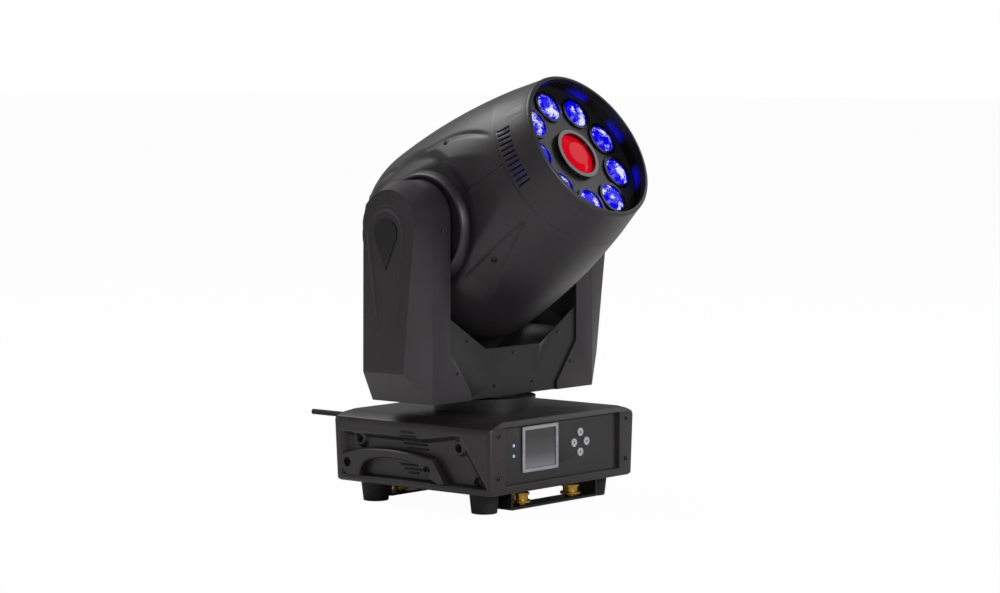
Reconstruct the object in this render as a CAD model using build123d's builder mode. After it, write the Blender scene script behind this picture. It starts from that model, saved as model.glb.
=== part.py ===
from build123d import *
import math
import os

# A moving head light: a floor base, a yoke that pans on it, and a head that tilts in the yoke.
# Millimetres. Origin on the floor under the middle of the base, front towards -Y, +Z up.

# Fits
RUN_FIT = 0.05  # radial clearance of a shaft in its bearing
GAP = 0.3  # clearance between neighbouring pieces
WALL = 3.0  # moulded covers
SHEET = 2.0  # sheet metal

# Base
BASE_WIDTH = 285.0
BASE_DEPTH = 259.0
BASE_DRAFT = 2.5  # each side leans out by this from the bottom to the shoulder
FLOOR_Z = 26.0
SHOULDER_Z = 104.0
BASE_TOP_Z = 116.0
SHOULDER_INSET = 16.0
FRONT_INSET = 6.0
FOOT_X = 108.0
FOOT_Y = 90.0
FOOT_TOP_RADIUS = 19.0
FOOT_TIP_RADIUS = 16.0
PLATE = 2.5

# Control panel
PANEL_WIDTH = 236.0
PANEL_LOW_Z = 34.0
PANEL_HIGH_Z = 110.0
PANEL_RECESS = 5.0
DISPLAY_X = -42.0
DISPLAY_Z = 78.0
DISPLAY_WIDTH = 70.0
DISPLAY_HEIGHT = 57.0
BEZEL_RIM = 4.5
BUTTON_X = 38.0
BUTTON_Z = 77.5
BUTTON_SPACING = 12.6
BUTTON_RADIUS = 5.2
BUTTON_TRAVEL = 0.6
INDICATOR_X = -93.0
INDICATOR_Z = (72.0, 85.0)
INDICATOR_RADIUS = 2.0
PANEL_SCREW_RADIUS = 3.2

# Carrying handles on the sides of the base
HANDLE_Y = 40.0
HANDLE_LENGTH = 144.0
HANDLE_RISE = 22.0
HANDLE_THICK = 9.0
HANDLE_HEIGHT = 15.0
HANDLE_FOOT_Z = 52.0
POCKET_DEPTH = 17.0
POCKET_LOW_Z = 36.0
POCKET_HIGH_Z = 90.0
POCKET_Y = (-78.0, 118.0)

# Clamp brackets under the base
BRACKET_LENGTH = 170.0
BRACKET_WIDTH = 30.0
BRACKET_SHEET = 3.0
BRACKET_DROP = 19.0
BRACKET_WELL = 28.0
BRACKET_Y = 100.0
CLAMP_HOLE_RADIUS = 6.5
QUARTER_TURN_X = 50.0
QUARTER_TURN_RADIUS = 4.0

# Rear panel, sockets and antenna
REAR_WIDTH = 230.0
SOCKET_Z = 52.0
DMX_Z = 84.0
DMX_RADIUS = 11.0
ANTENNA_X = -105.0
ANTENNA_Z = 104.5
ANTENNA_RADIUS = 3.5
ANTENNA_LENGTH = 56.0

# Pan drive
NECK_RADIUS = 65.0
SPINDLE_RADIUS = 42.0
CABLE_BORE = 26.0
PAN_BEARING_RADIUS = 54.0
PAN_BRIDGE_Z = 100.0
PAN_PULLEY_RADIUS = 50.0
PINION_RADIUS = 10.0
PAN_MOTOR_X = 84.0
PAN_MOTOR_Y = 12.0
BELT_THICK = 1.6
BELT_WIDTH = 6.0
MOTOR_SIZE = 42.0
MOTOR_LENGTH = 40.0

# Yoke
YOKE_HALF_WIDTH = 192.0
SHOULDER_X = 158.0
ARM_INNER_X = 125.0
ARM_HALF_DEPTH = 50.0
YOKE_BOTTOM_Z = 135.0
PIVOT_Z = 350.0
ARM_ARC_Z = 360.0
FACE_LOW_Z = 174.0
FACE_FRONT_Y = -31.0
FACE_REAR_Y = 35.0
FACE_ARC_Y = -8.0
FACE_ARC_Z = 358.0
FACE_ARC_RADIUS = 42.0
ARM_FOOT_X = 85.0
ARM_FOOT_Z = 197.0
COVER_WALL = 2.5
CROSSBAR_Z = 197.0
CROSSBAR_FLAT_X = 54.0
CROSSBAR_HORN_Z = 240.0
CHANNEL_Z = 182.0
FRAME_HALF_DEPTH = 44.0

# Tilt drive
TILT_REST_DEG = 31.5  # the head's axis above the horizontal at rest
HUB_RADIUS = 28.0
HUB_BORE = 20.0
HUB_END_X = 172.0
TILT_BEARING_RADIUS = 38.0
TILT_PULLEY_RADIUS = 30.0
TILT_MOTOR_Z = 206.0

# Head, measured along its axis from the pivot
HEAD_RADIUS = 134.5
HEAD_SIDE_X = 115.0
WAIST_T = -40.0
PARTING_T = 148.0
RIM_T = 198.0
REAR_T = -146.0
CAP_T = -88.0
PARTING_RADIUS = 112.5
RIM_RADIUS = 99.0
RIM_WALL = 4.0
REAR_RADIUS = 55.0
BOSS_RADIUS = 67.0
LENS_T = 172.0
LENS_COUNT = 9
LENS_PITCH_RADIUS = 70.0
LENS_RADIUS = 19.5
LENS_START_DEG = 97.8
CENTRE_LENS_RADIUS = 28.5
BARREL_WALL = 2.5
BARREL_REAR_T = 44.0
SLEEVE_SLOTS = 12
SLOT_LENGTH = 17.5
SLOT_WIDTH = 2.6
SLOT_FIRST_DEG = 65.0
SLOT_LAST_DEG = 105.0
LOUVRE_COUNT = 36
WHEEL_OFFSET = 50.0
WHEEL_RADIUS = 64.0
GOBO_RADIUS = 11.0

os.makedirs("parts", exist_ok=True)

TILT = math.radians(TILT_REST_DEG)
PIVOT = Vector(0, 0, PIVOT_Z)
FORWARD = Vector(0, -math.cos(TILT), math.sin(TILT))
HEAD = Plane(origin=PIVOT, x_dir=(1, 0, 0), z_dir=FORWARD)
HEAD_SECTION = Plane(origin=PIVOT, x_dir=FORWARD, z_dir=(-1, 0, 0))
HEAD_AXIS = Axis(PIVOT, FORWARD)
FRONT_Y = -BASE_DEPTH / 2
PANEL_Y = FRONT_Y + PANEL_RECESS
SIDES = (-1, 1)


def save(piece, label):
    """Label a finished sub-part and write its STEP file."""
    piece.part.label = label
    export_step(piece.part, f"parts/{label}.step")


def facing_front(y):
    """A plane at y whose normal points to the front, with x to the right and z up."""
    return Plane(origin=(0, y, 0), x_dir=(1, 0, 0), z_dir=(0, -1, 0))


def facing_side(x):
    """A plane at x whose normal points along +X, with its own x along +Y."""
    return Plane(origin=(x, 0, 0), x_dir=(0, 1, 0), z_dir=(1, 0, 0))


def ring(radius, bore):
    """A flat ring in the sketch that is open."""
    Circle(radius)
    Circle(bore, mode=Mode.SUBTRACT)


def belt_outline(first, first_radius, second, second_radius):
    """The area inside a belt that runs round two pulleys."""
    a = Vector(*first)
    b = Vector(*second)
    along = (b - a).normalized()
    across = Vector(-along.Y, along.X)
    tip = (first_radius - second_radius) / (b - a).length
    lean = math.sqrt(1 - tip * tip)
    corners = []
    for centre, radius, side in ((a, first_radius, 1), (b, second_radius, 1), (b, second_radius, -1),
                                 (a, first_radius, -1)):
        edge = centre + (along * tip + across * lean * side) * radius
        corners.append((edge.X, edge.Y))
    Polygon(*corners, align=None)
    with Locations(first):
        Circle(first_radius)
    with Locations(second):
        Circle(second_radius)


def head_radius(t, inset=0.0):
    """Radius of the head's outline at a distance t along its axis."""
    if t >= WAIST_T:
        run = PARTING_T - WAIST_T
        drop = HEAD_RADIUS - PARTING_RADIUS
        big = (run * run + drop * drop) / (2 * drop)
        return HEAD_RADIUS - big + math.sqrt((big - inset) ** 2 - (t - WAIST_T) ** 2)
    run = WAIST_T - REAR_T
    drop = HEAD_RADIUS - REAR_RADIUS
    small = (run * run + drop * drop) / (2 * drop)
    return HEAD_RADIUS - small + math.sqrt((small - inset) ** 2 - (WAIST_T - t) ** 2)


def head_outline(rear, front, inset=0.0):
    """The area between the head's axis and its outline, from rear to front."""
    stops = [rear, WAIST_T, front] if rear < WAIST_T < front else [rear, front]
    with BuildLine() as path:
        for start, end in zip(stops, stops[1:]):
            middle = (start + end) / 2
            ends = [(t, head_radius(t, inset)) for t in (start, middle, end)]
            ThreePointArc(*ends)
        Line((front, head_radius(front, inset)), (front, 0))
        Line((front, 0), (rear, 0))
        Line((rear, 0), (rear, head_radius(rear, inset)))
    make_face(path.edges())


# ---------------------------------------------------------------- base

plate_width = BASE_WIDTH - 2 * BASE_DRAFT - 2 * WALL - 1
plate_depth = BASE_DEPTH - 2 * BASE_DRAFT - 2 * WALL - 1
foot_places = [(x * FOOT_X, y * FOOT_Y) for x in SIDES for y in SIDES]
bracket_places = [(x * QUARTER_TURN_X, y * BRACKET_Y) for x in SIDES for y in SIDES]
bridge_legs = [(x * 104.0, y * 42.0) for x in SIDES for y in SIDES]
plate_top_z = FLOOR_Z + PLATE

with BuildPart() as base_plate:
    with BuildSketch(Plane.XY.offset(FLOOR_Z)):
        RectangleRounded(plate_width, plate_depth, 6)
        with Locations(*foot_places):
            Circle(2.6, mode=Mode.SUBTRACT)
        with Locations(*bracket_places):
            Circle(QUARTER_TURN_RADIUS + GAP, mode=Mode.SUBTRACT)
    extrude(amount=PLATE)
save(base_plate, "base_plate")


def base_block(inset, low_z, high_z):
    """The base's outer form, or its hollow when inset by a wall."""
    width = BASE_WIDTH - 2 * inset
    depth = BASE_DEPTH - 2 * inset
    lean = 2 * BASE_DRAFT
    with BuildSketch(Plane.XY.offset(low_z)) as low:
        RectangleRounded(width - lean, depth - lean, 8 - inset)
    with BuildSketch(Plane.XY.offset(SHOULDER_Z)) as shoulder:
        RectangleRounded(width, depth, 8 - inset)
    with BuildSketch(Plane.XY.offset(high_z)) as high:
        RectangleRounded(width - 2 * SHOULDER_INSET, depth - 2 * FRONT_INSET, 8 - inset)
    loft((low.sketch, shoulder.sketch), ruled=True)
    loft((shoulder.sketch, high.sketch), ruled=True)


with BuildPart() as base_hollow:
    base_block(WALL, FLOOR_Z, BASE_TOP_Z - WALL)

pocket_length = POCKET_Y[1] - POCKET_Y[0]
pocket_height = POCKET_HIGH_Z - POCKET_LOW_Z
pocket_y = (POCKET_Y[0] + POCKET_Y[1]) / 2
pocket_z = (POCKET_HIGH_Z + POCKET_LOW_Z) / 2
vent_rows = [(POCKET_HIGH_Z - 8 - 4.2 * row, 20 - 2.0 * row) for row in range(5)]
panel_mid_z = (PANEL_LOW_Z + PANEL_HIGH_Z) / 2
panel_screw_places = [(x * 129.0, z) for x in SIDES for z in (48.0, 98.0)]

with BuildPart() as base_shell:
    base_block(0, FLOOR_Z, BASE_TOP_Z)
    for side in SIDES:
        face_x = side * (BASE_WIDTH / 2 - POCKET_DEPTH)
        with BuildSketch(facing_side(face_x)):
            with Locations((pocket_y, pocket_z)):
                RectangleRounded(pocket_length, pocket_height, 10)
        extrude(amount=side * (POCKET_DEPTH + 10), mode=Mode.SUBTRACT)
    add(base_hollow.part, mode=Mode.SUBTRACT)
    for side in SIDES:
        floor_x = side * (BASE_WIDTH / 2 - POCKET_DEPTH)
        with BuildSketch(facing_side(floor_x)):
            with Locations((pocket_y, pocket_z)):
                RectangleRounded(pocket_length + 2 * WALL, pocket_height + 2 * WALL, 10 + WALL)
                RectangleRounded(pocket_length, pocket_height, 10, mode=Mode.SUBTRACT)
        extrude(amount=side * (POCKET_DEPTH - WALL - 0.6))
        with BuildSketch(facing_side(floor_x)):
            with Locations((pocket_y, pocket_z)):
                RectangleRounded(pocket_length + 2 * WALL, pocket_height + 2 * WALL, 10 + WALL)
        extrude(amount=-side * WALL)
        with BuildSketch(facing_side(floor_x - side * 2 * WALL)):
            for slot_z, slot_length in vent_rows:
                with Locations((HANDLE_Y, slot_z)):
                    SlotOverall(2 * slot_length, 2.2)
            for row in range(3):
                with Locations((HANDLE_Y, POCKET_LOW_Z + 6 + 4.2 * row)):
                    SlotOverall(44 - 8 * row, 2.2)
        extrude(amount=side * 3 * WALL, mode=Mode.SUBTRACT)
    with BuildSketch(facing_front(FRONT_Y - 5)):
        with Locations((0, panel_mid_z)):
            RectangleRounded(PANEL_WIDTH, PANEL_HIGH_Z - PANEL_LOW_Z, 4)
    extrude(amount=-30, mode=Mode.SUBTRACT)
    with BuildSketch(facing_front(FRONT_Y + 2.4)):
        with Locations(*panel_screw_places):
            Circle(PANEL_SCREW_RADIUS)
    extrude(amount=6, mode=Mode.SUBTRACT)
    with BuildSketch(facing_front(BASE_DEPTH / 2 - 2 * WALL)):
        with Locations((0, (FLOOR_Z + SHOULDER_Z) / 2)):
            Rectangle(REAR_WIDTH, SHOULDER_Z - FLOOR_Z - 14)
    extrude(amount=-4 * WALL, mode=Mode.SUBTRACT)
    with BuildSketch(Plane.XY.offset(BASE_TOP_Z - 2 * WALL)):
        Circle(NECK_RADIUS + 2)
    extrude(amount=4 * WALL, mode=Mode.SUBTRACT)
    with Locations((ANTENNA_X, BASE_DEPTH / 2, ANTENNA_Z - 1.5)):
        Cylinder(5, 30, rotation=(90, 0, 0), mode=Mode.SUBTRACT)
save(base_shell, "base_shell")

with BuildPart() as side_handles:
    for side in SIDES:
        floor_x = side * (BASE_WIDTH / 2 - POCKET_DEPTH + GAP)
        half = HANDLE_LENGTH / 2
        with BuildSketch(facing_side(floor_x)):
            with BuildLine():
                rise = HANDLE_FOOT_Z + HANDLE_RISE
                Spline((HANDLE_Y - half, HANDLE_FOOT_Z), (HANDLE_Y - 0.55 * half, rise - 5),
                             (HANDLE_Y, rise), (HANDLE_Y + 0.55 * half, rise - 5),
                             (HANDLE_Y + half, HANDLE_FOOT_Z))
                Spline((HANDLE_Y - half, HANDLE_FOOT_Z - HANDLE_HEIGHT),
                       (HANDLE_Y - 0.55 * half, rise - 5 - HANDLE_HEIGHT),
                       (HANDLE_Y, rise - HANDLE_HEIGHT),
                       (HANDLE_Y + 0.55 * half, rise - 5 - HANDLE_HEIGHT),
                       (HANDLE_Y + half, HANDLE_FOOT_Z - HANDLE_HEIGHT))
                Line((HANDLE_Y - half, HANDLE_FOOT_Z), (HANDLE_Y - half, HANDLE_FOOT_Z - HANDLE_HEIGHT))
                Line((HANDLE_Y + half, HANDLE_FOOT_Z), (HANDLE_Y + half, HANDLE_FOOT_Z - HANDLE_HEIGHT))
            make_face()
        extrude(amount=side * (POCKET_DEPTH + 2))
        with BuildSketch(facing_side(floor_x)):
            with Locations((HANDLE_Y, HANDLE_FOOT_Z)):
                Rectangle(HANDLE_LENGTH - 2 * 24, 90)
        extrude(amount=side * (POCKET_DEPTH + 2 - HANDLE_THICK), mode=Mode.SUBTRACT)
        for end in SIDES:
            with Locations((floor_x + side * (POCKET_DEPTH + 2), HANDLE_Y + end * (half - 12),
                            HANDLE_FOOT_Z - 7)):
                Cylinder(4.5, 8, rotation=(0, 90, 0), mode=Mode.SUBTRACT)
save(side_handles, "side_handles")

with BuildPart() as rubber_feet:
    for place in foot_places:
        with BuildSketch(Plane.XY):
            with Locations(place):
                Circle(FOOT_TIP_RADIUS)
        with BuildSketch(Plane.XY.offset(FLOOR_Z)):
            with Locations(place):
                Circle(FOOT_TOP_RADIUS)
        loft(ruled=True)
        with Locations((*place, 4)):
            Cylinder(6, 10, mode=Mode.SUBTRACT)
save(rubber_feet, "rubber_feet")

well_z = FLOOR_Z - BRACKET_DROP
with BuildPart() as omega_brackets:
    for end in SIDES:
        half = BRACKET_LENGTH / 2
        with BuildSketch(facing_front(end * BRACKET_Y + BRACKET_WIDTH / 2)):
            with BuildLine():
                Polyline((-half, FLOOR_Z), (-BRACKET_WELL - 5, FLOOR_Z), (-BRACKET_WELL, well_z),
                         (BRACKET_WELL, well_z), (BRACKET_WELL + 5, FLOOR_Z), (half, FLOOR_Z),
                         (half, FLOOR_Z - BRACKET_SHEET), (BRACKET_WELL + 8, FLOOR_Z - BRACKET_SHEET),
                         (BRACKET_WELL + 3, well_z - BRACKET_SHEET),
                         (-BRACKET_WELL - 3, well_z - BRACKET_SHEET),
                         (-BRACKET_WELL - 8, FLOOR_Z - BRACKET_SHEET), (-half, FLOOR_Z - BRACKET_SHEET),
                         close=True)
            make_face()
        extrude(amount=BRACKET_WIDTH)
        with Locations((0, end * BRACKET_Y, well_z)):
            Cylinder(CLAMP_HOLE_RADIUS, 4 * BRACKET_SHEET, mode=Mode.SUBTRACT)
        with Locations(*[(x, end * BRACKET_Y, FLOOR_Z) for x in (-QUARTER_TURN_X, QUARTER_TURN_X)]):
            Cylinder(QUARTER_TURN_RADIUS + GAP, 20, mode=Mode.SUBTRACT)
save(omega_brackets, "omega_brackets")

for number, place in enumerate(bracket_places, 1):
    with BuildPart() as quarter_turn:
        with Locations((*place, FLOOR_Z - BRACKET_SHEET - GAP)):
            Cylinder(9, 4, align=(Align.CENTER, Align.CENTER, Align.MAX))
        with Locations((*place, FLOOR_Z - BRACKET_SHEET - GAP - 4)):
            Box(16, 3, 5, align=(Align.CENTER, Align.CENTER, Align.MAX))
        with Locations((*place, FLOOR_Z - BRACKET_SHEET - GAP - 1)):
            Cylinder(QUARTER_TURN_RADIUS, BRACKET_SHEET + PLATE + 6,
                     align=(Align.CENTER, Align.CENTER, Align.MIN))
    save(quarter_turn, f"quarter_turn_{number}")

button_places = {
    "up": (BUTTON_X, BUTTON_Z + BUTTON_SPACING),
    "down": (BUTTON_X, BUTTON_Z - BUTTON_SPACING),
    "left": (BUTTON_X - BUTTON_SPACING, BUTTON_Z),
    "right": (BUTTON_X + BUTTON_SPACING, BUTTON_Z),
}
indicator_places = [(INDICATOR_X, z) for z in INDICATOR_Z]

with BuildPart() as front_panel:
    with BuildSketch(facing_front(PANEL_Y)):
        with Locations((0, panel_mid_z)):
            RectangleRounded(PANEL_WIDTH - 2 * GAP, PANEL_HIGH_Z - PANEL_LOW_Z - 2 * GAP, 4)
        with Locations((DISPLAY_X, DISPLAY_Z)):
            Rectangle(DISPLAY_WIDTH - 2 * BEZEL_RIM, DISPLAY_HEIGHT - 2 * BEZEL_RIM, mode=Mode.SUBTRACT)
        with Locations(*button_places.values()):
            Circle(BUTTON_RADIUS + GAP, mode=Mode.SUBTRACT)
        with Locations(*indicator_places):
            Circle(INDICATOR_RADIUS + RUN_FIT, mode=Mode.SUBTRACT)
    extrude(amount=-WALL)
save(front_panel, "front_panel")

with BuildPart() as display_bezel:
    with BuildSketch(facing_front(PANEL_Y)):
        with Locations((DISPLAY_X, DISPLAY_Z)):
            RectangleRounded(DISPLAY_WIDTH, DISPLAY_HEIGHT, 1.5)
            Rectangle(DISPLAY_WIDTH - 2 * BEZEL_RIM, DISPLAY_HEIGHT - 2 * BEZEL_RIM, mode=Mode.SUBTRACT)
    extrude(amount=2)
save(display_bezel, "display_bezel")

with BuildPart() as display_glass:
    with BuildSketch(facing_front(PANEL_Y + WALL - 0.5)):
        with Locations((DISPLAY_X, DISPLAY_Z)):
            Rectangle(DISPLAY_WIDTH - 2 * BEZEL_RIM - 2 * GAP, DISPLAY_HEIGHT - 2 * BEZEL_RIM - 2 * GAP)
    extrude(amount=WALL)
save(display_glass, "display_glass")

board_y = PANEL_Y + WALL + 5
with BuildPart() as control_board:
    with BuildSketch(facing_front(board_y)):
        with Locations((0, panel_mid_z)):
            Rectangle(PANEL_WIDTH - 24, PANEL_HIGH_Z - PANEL_LOW_Z - 10)
    extrude(amount=-1.6)
    with BuildSketch(facing_front(board_y)):
        with Locations((DISPLAY_X, DISPLAY_Z)):
            Rectangle(DISPLAY_WIDTH - 2 * BEZEL_RIM, DISPLAY_HEIGHT - 2 * BEZEL_RIM)
    extrude(amount=5)
    with BuildSketch(facing_front(board_y)):
        with Locations(*button_places.values()):
            Rectangle(6, 6)
    extrude(amount=3)
    for side in SIDES:
        with BuildSketch(facing_front(PANEL_Y + WALL)):
            with Locations((side * (PANEL_WIDTH / 2 - 16), PANEL_LOW_Z + 9),
                           (side * (PANEL_WIDTH / 2 - 16), PANEL_HIGH_Z - 9)):
                Circle(3)
        extrude(amount=-5)
save(control_board, "control_board")

with BuildPart() as indicator_leds:
    with BuildSketch(facing_front(PANEL_Y - 0.6)):
        with Locations(*indicator_places):
            Circle(INDICATOR_RADIUS)
    extrude(amount=-(WALL + 5 + 0.6))
save(indicator_leds, "indicator_leds")

for name, place in button_places.items():
    with BuildPart() as button:
        with BuildSketch(facing_front(PANEL_Y - 1.6)):
            with Locations(place):
                Circle(BUTTON_RADIUS)
        extrude(amount=-(WALL + 1.6 + 2 - GAP - BUTTON_TRAVEL))
        with BuildSketch(facing_front(PANEL_Y + WALL + GAP)):
            with Locations(place):
                Circle(BUTTON_RADIUS + 0.8)
        extrude(amount=-(2 - 2 * GAP - BUTTON_TRAVEL))
    save(button, f"button_{name}")

rear_y = BASE_DEPTH / 2 - 2 * WALL
dmx_xs = [-60.0, -20.0, 20.0, 60.0]
power_xs = [-70.0, -20.0]
fuse_x = 30.0
rear_plane = Plane(origin=(0, rear_y, 0), x_dir=(-1, 0, 0), z_dir=(0, 1, 0))
with BuildPart() as rear_panel:
    with BuildSketch(rear_plane):
        with Locations((0, (FLOOR_Z + SHOULDER_Z) / 2)):
            Rectangle(REAR_WIDTH + 12, SHOULDER_Z - FLOOR_Z - 8)
        with Locations(*[(-x, DMX_Z) for x in dmx_xs]):
            Circle(DMX_RADIUS + GAP, mode=Mode.SUBTRACT)
        with Locations(*[(-x, SOCKET_Z) for x in power_xs]):
            Rectangle(26 + 2 * GAP, 22 + 2 * GAP, mode=Mode.SUBTRACT)
        with Locations((-fuse_x, SOCKET_Z)):
            Circle(7 + GAP, mode=Mode.SUBTRACT)
    extrude(amount=-SHEET)
save(rear_panel, "rear_panel")

with BuildPart() as rear_sockets:
    for x in dmx_xs:
        with BuildSketch(rear_plane.offset(GAP)):
            with Locations((-x, DMX_Z)):
                RectangleRounded(26, 31, 3)
                Circle(DMX_RADIUS - 2.5, mode=Mode.SUBTRACT)
        extrude(amount=2)
        with BuildSketch(rear_plane.offset(GAP)):
            with Locations((-x, DMX_Z)):
                ring(DMX_RADIUS, DMX_RADIUS - 2.5)
        extrude(amount=-24)
        with BuildSketch(rear_plane.offset(-23)):
            with Locations((-x, DMX_Z)):
                Circle(DMX_RADIUS)
        extrude(amount=-2)
        with BuildSketch(rear_plane.offset(-24)):
            with Locations((-x, DMX_Z)):
                with PolarLocations(4.5, 3):
                    Circle(1.2)
        extrude(amount=20)
    for x in power_xs:
        with BuildSketch(rear_plane.offset(GAP)):
            with Locations((-x, SOCKET_Z)):
                RectangleRounded(32, 28, 3)
                Circle(9.5, mode=Mode.SUBTRACT)
        extrude(amount=3)
        with BuildSketch(rear_plane.offset(GAP)):
            with Locations((-x, SOCKET_Z)):
                Rectangle(26, 22)
                Circle(9.5, mode=Mode.SUBTRACT)
        extrude(amount=-22)
        with BuildSketch(rear_plane.offset(-20)):
            with Locations((-x, SOCKET_Z)):
                Rectangle(26, 22)
        extrude(amount=-3)
        with BuildSketch(rear_plane.offset(-21)):
            with Locations((-x, SOCKET_Z)):
                Circle(4)
        extrude(amount=17)
    with BuildSketch(rear_plane.offset(GAP)):
        with Locations((-fuse_x, SOCKET_Z)):
            Circle(9)
    extrude(amount=6)
    with BuildSketch(rear_plane.offset(GAP)):
        with Locations((-fuse_x, SOCKET_Z)):
            Circle(7)
    extrude(amount=-25)
save(rear_sockets, "rear_sockets")

with BuildPart() as power_supply:
    with BuildSketch(Plane.XY.offset(plate_top_z)):
        with Locations((-24, 62)):
            RectangleRounded(140, 62, 2)
    extrude(amount=38)
    with BuildSketch(Plane.XY.offset(plate_top_z + 38)):
        with Locations((-24, 62)):
            with GridLocations(12, 10, 10, 4):
                Circle(3)
    extrude(amount=-3, mode=Mode.SUBTRACT)
save(power_supply, "power_supply")

antenna_face_y = rear_y
with BuildPart() as antenna_mount:
    with Locations((ANTENNA_X, BASE_DEPTH / 2 - WALL, ANTENNA_Z)):
        Cylinder(3.2, 3 * WALL + 3, rotation=(90, 0, 0))
    with BuildSketch(Plane(origin=(ANTENNA_X, BASE_DEPTH / 2 + GAP, ANTENNA_Z), x_dir=(1, 0, 0),
                           z_dir=(0, 1, 0))):
        RegularPolygon(4.2, 6)
    extrude(amount=4)
    for side in SIDES:
        with BuildSketch(facing_side(ANTENNA_X + side * 2.2)):
            with Locations((BASE_DEPTH / 2 + GAP + 8, ANTENNA_Z)):
                Rectangle(10, 6)
        extrude(amount=side * 1.4)
    with Locations((ANTENNA_X, BASE_DEPTH / 2 + GAP + 11, ANTENNA_Z)):
        Cylinder(1.0, 6, rotation=(0, 90, 0))
save(antenna_mount, "antenna_mount")

hinge_y = BASE_DEPTH / 2 + GAP + 11
with BuildPart() as antenna_mast:
    with BuildSketch(facing_side(ANTENNA_X - 1.9)):
        with Locations((hinge_y, ANTENNA_Z)):
            Circle(3)
        with Locations((hinge_y + 3, ANTENNA_Z)):
            Rectangle(6, 5)
        with Locations((hinge_y, ANTENNA_Z)):
            Circle(1.0 + RUN_FIT, mode=Mode.SUBTRACT)
    extrude(amount=3.8)
    with BuildSketch(Plane(origin=(ANTENNA_X, hinge_y + 5, ANTENNA_Z), x_dir=(1, 0, 0), z_dir=(0, 1, 0))):
        Circle(ANTENNA_RADIUS)
    extrude(amount=ANTENNA_LENGTH)
save(antenna_mast, "antenna_mast")

with BuildPart() as base_screws:
    with BuildSketch(facing_front(FRONT_Y + 2.4)):
        with Locations(*panel_screw_places):
            Circle(PANEL_SCREW_RADIUS - GAP)
    extrude(amount=2)
    for side in SIDES:
        for end in SIDES:
            place_y = HANDLE_Y + end * (HANDLE_LENGTH / 2 - 12)
            head_x = side * (BASE_WIDTH / 2 + GAP - 1)
            with Locations((head_x, place_y, HANDLE_FOOT_Z - 7)):
                Cylinder(3.4, 2, rotation=(0, 90, 0))
save(base_screws, "base_screws")

# ---------------------------------------------------------------- pan drive

with BuildPart() as pan_bridge:
    with BuildSketch(Plane.XY.offset(PAN_BRIDGE_Z)):
        Rectangle(220, 100)
        Circle(SPINDLE_RADIUS + 2, mode=Mode.SUBTRACT)
    extrude(amount=SHEET + 1)
    with BuildSketch(Plane.XY.offset(plate_top_z)):
        with Locations(*bridge_legs):
            Rectangle(10, 16)
    extrude(until=Until.NEXT)
save(pan_bridge, "pan_bridge")

bearing_z = PAN_BRIDGE_Z + SHEET + 1
neck_low_z = BASE_TOP_Z - 2
with BuildPart() as pan_bearing:
    with BuildSketch(Plane.XY.offset(bearing_z)):
        ring(PAN_BEARING_RADIUS, SPINDLE_RADIUS + RUN_FIT)
    extrude(amount=neck_low_z - GAP - bearing_z)
save(pan_bearing, "pan_bearing")

pulley_z = PAN_BRIDGE_Z - GAP - 12
with BuildPart() as pan_hub:
    with BuildSketch(Plane.XY.offset(neck_low_z)):
        ring(NECK_RADIUS, CABLE_BORE)
    extrude(amount=YOKE_BOTTOM_Z - WALL - neck_low_z)
    with BuildSketch(Plane.XY.offset(YOKE_BOTTOM_Z - WALL)):
        ring(SPINDLE_RADIUS, CABLE_BORE)
    extrude(amount=WALL + COVER_WALL + GAP)
    with BuildSketch(Plane.XY.offset(pulley_z)):
        ring(SPINDLE_RADIUS, CABLE_BORE)
    extrude(amount=neck_low_z - pulley_z)
    with BuildSketch(Plane.XY.offset(pulley_z)):
        ring(PAN_PULLEY_RADIUS, SPINDLE_RADIUS - 1)
    extrude(amount=12)
    for flange_z in (pulley_z, pulley_z + 10.5):
        with BuildSketch(Plane.XY.offset(flange_z)):
            ring(PAN_PULLEY_RADIUS + 3, SPINDLE_RADIUS - 1)
        extrude(amount=1.5)
save(pan_hub, "pan_hub")

pinion_place = (PAN_MOTOR_X, PAN_MOTOR_Y)
belt_z = pulley_z + (12 - BELT_WIDTH) / 2
with BuildPart() as pan_belt:
    with BuildSketch(Plane.XY.offset(belt_z)):
        belt_outline((0, 0), PAN_PULLEY_RADIUS + GAP + BELT_THICK, pinion_place,
                     PINION_RADIUS + GAP + BELT_THICK)
    extrude(amount=BELT_WIDTH)
    with BuildSketch(Plane.XY.offset(belt_z)):
        belt_outline((0, 0), PAN_PULLEY_RADIUS + GAP, pinion_place, PINION_RADIUS + GAP)
    extrude(amount=BELT_WIDTH, mode=Mode.SUBTRACT)
save(pan_belt, "pan_belt")

motor_top_z = belt_z - 3
with BuildPart() as pan_motor:
    with BuildSketch(Plane.XY.offset(motor_top_z)):
        with Locations(pinion_place):
            RectangleRounded(MOTOR_SIZE, MOTOR_SIZE, 4)
    extrude(amount=plate_top_z - motor_top_z)
    with BuildSketch(Plane.XY.offset(motor_top_z)):
        with Locations(pinion_place):
            Circle(2.5)
    extrude(amount=BELT_WIDTH + 5)
save(pan_motor, "pan_motor")

with BuildPart() as pan_pinion:
    with BuildSketch(Plane.XY.offset(belt_z - 2)):
        with Locations(pinion_place):
            ring(PINION_RADIUS, 2.5 + RUN_FIT)
    extrude(amount=BELT_WIDTH + 3.5)
save(pan_pinion, "pan_pinion")

# ---------------------------------------------------------------- yoke

frame_z = YOKE_BOTTOM_Z + COVER_WALL
plate_y = ARM_HALF_DEPTH - COVER_WALL - GAP


def arm_section(inset):
    """The arm's outline at its shoulder: a straight foot under a round top."""
    half = ARM_HALF_DEPTH - inset
    low = YOKE_BOTTOM_Z + inset
    with BuildLine() as path:
        Line((-half, low), (half, low))
        Line((half, low), (half, ARM_ARC_Z))
        ThreePointArc((half, ARM_ARC_Z), (0, ARM_ARC_Z + half), (-half, ARM_ARC_Z))
        Line((-half, ARM_ARC_Z), (-half, low))
    make_face(path.edges())


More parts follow.
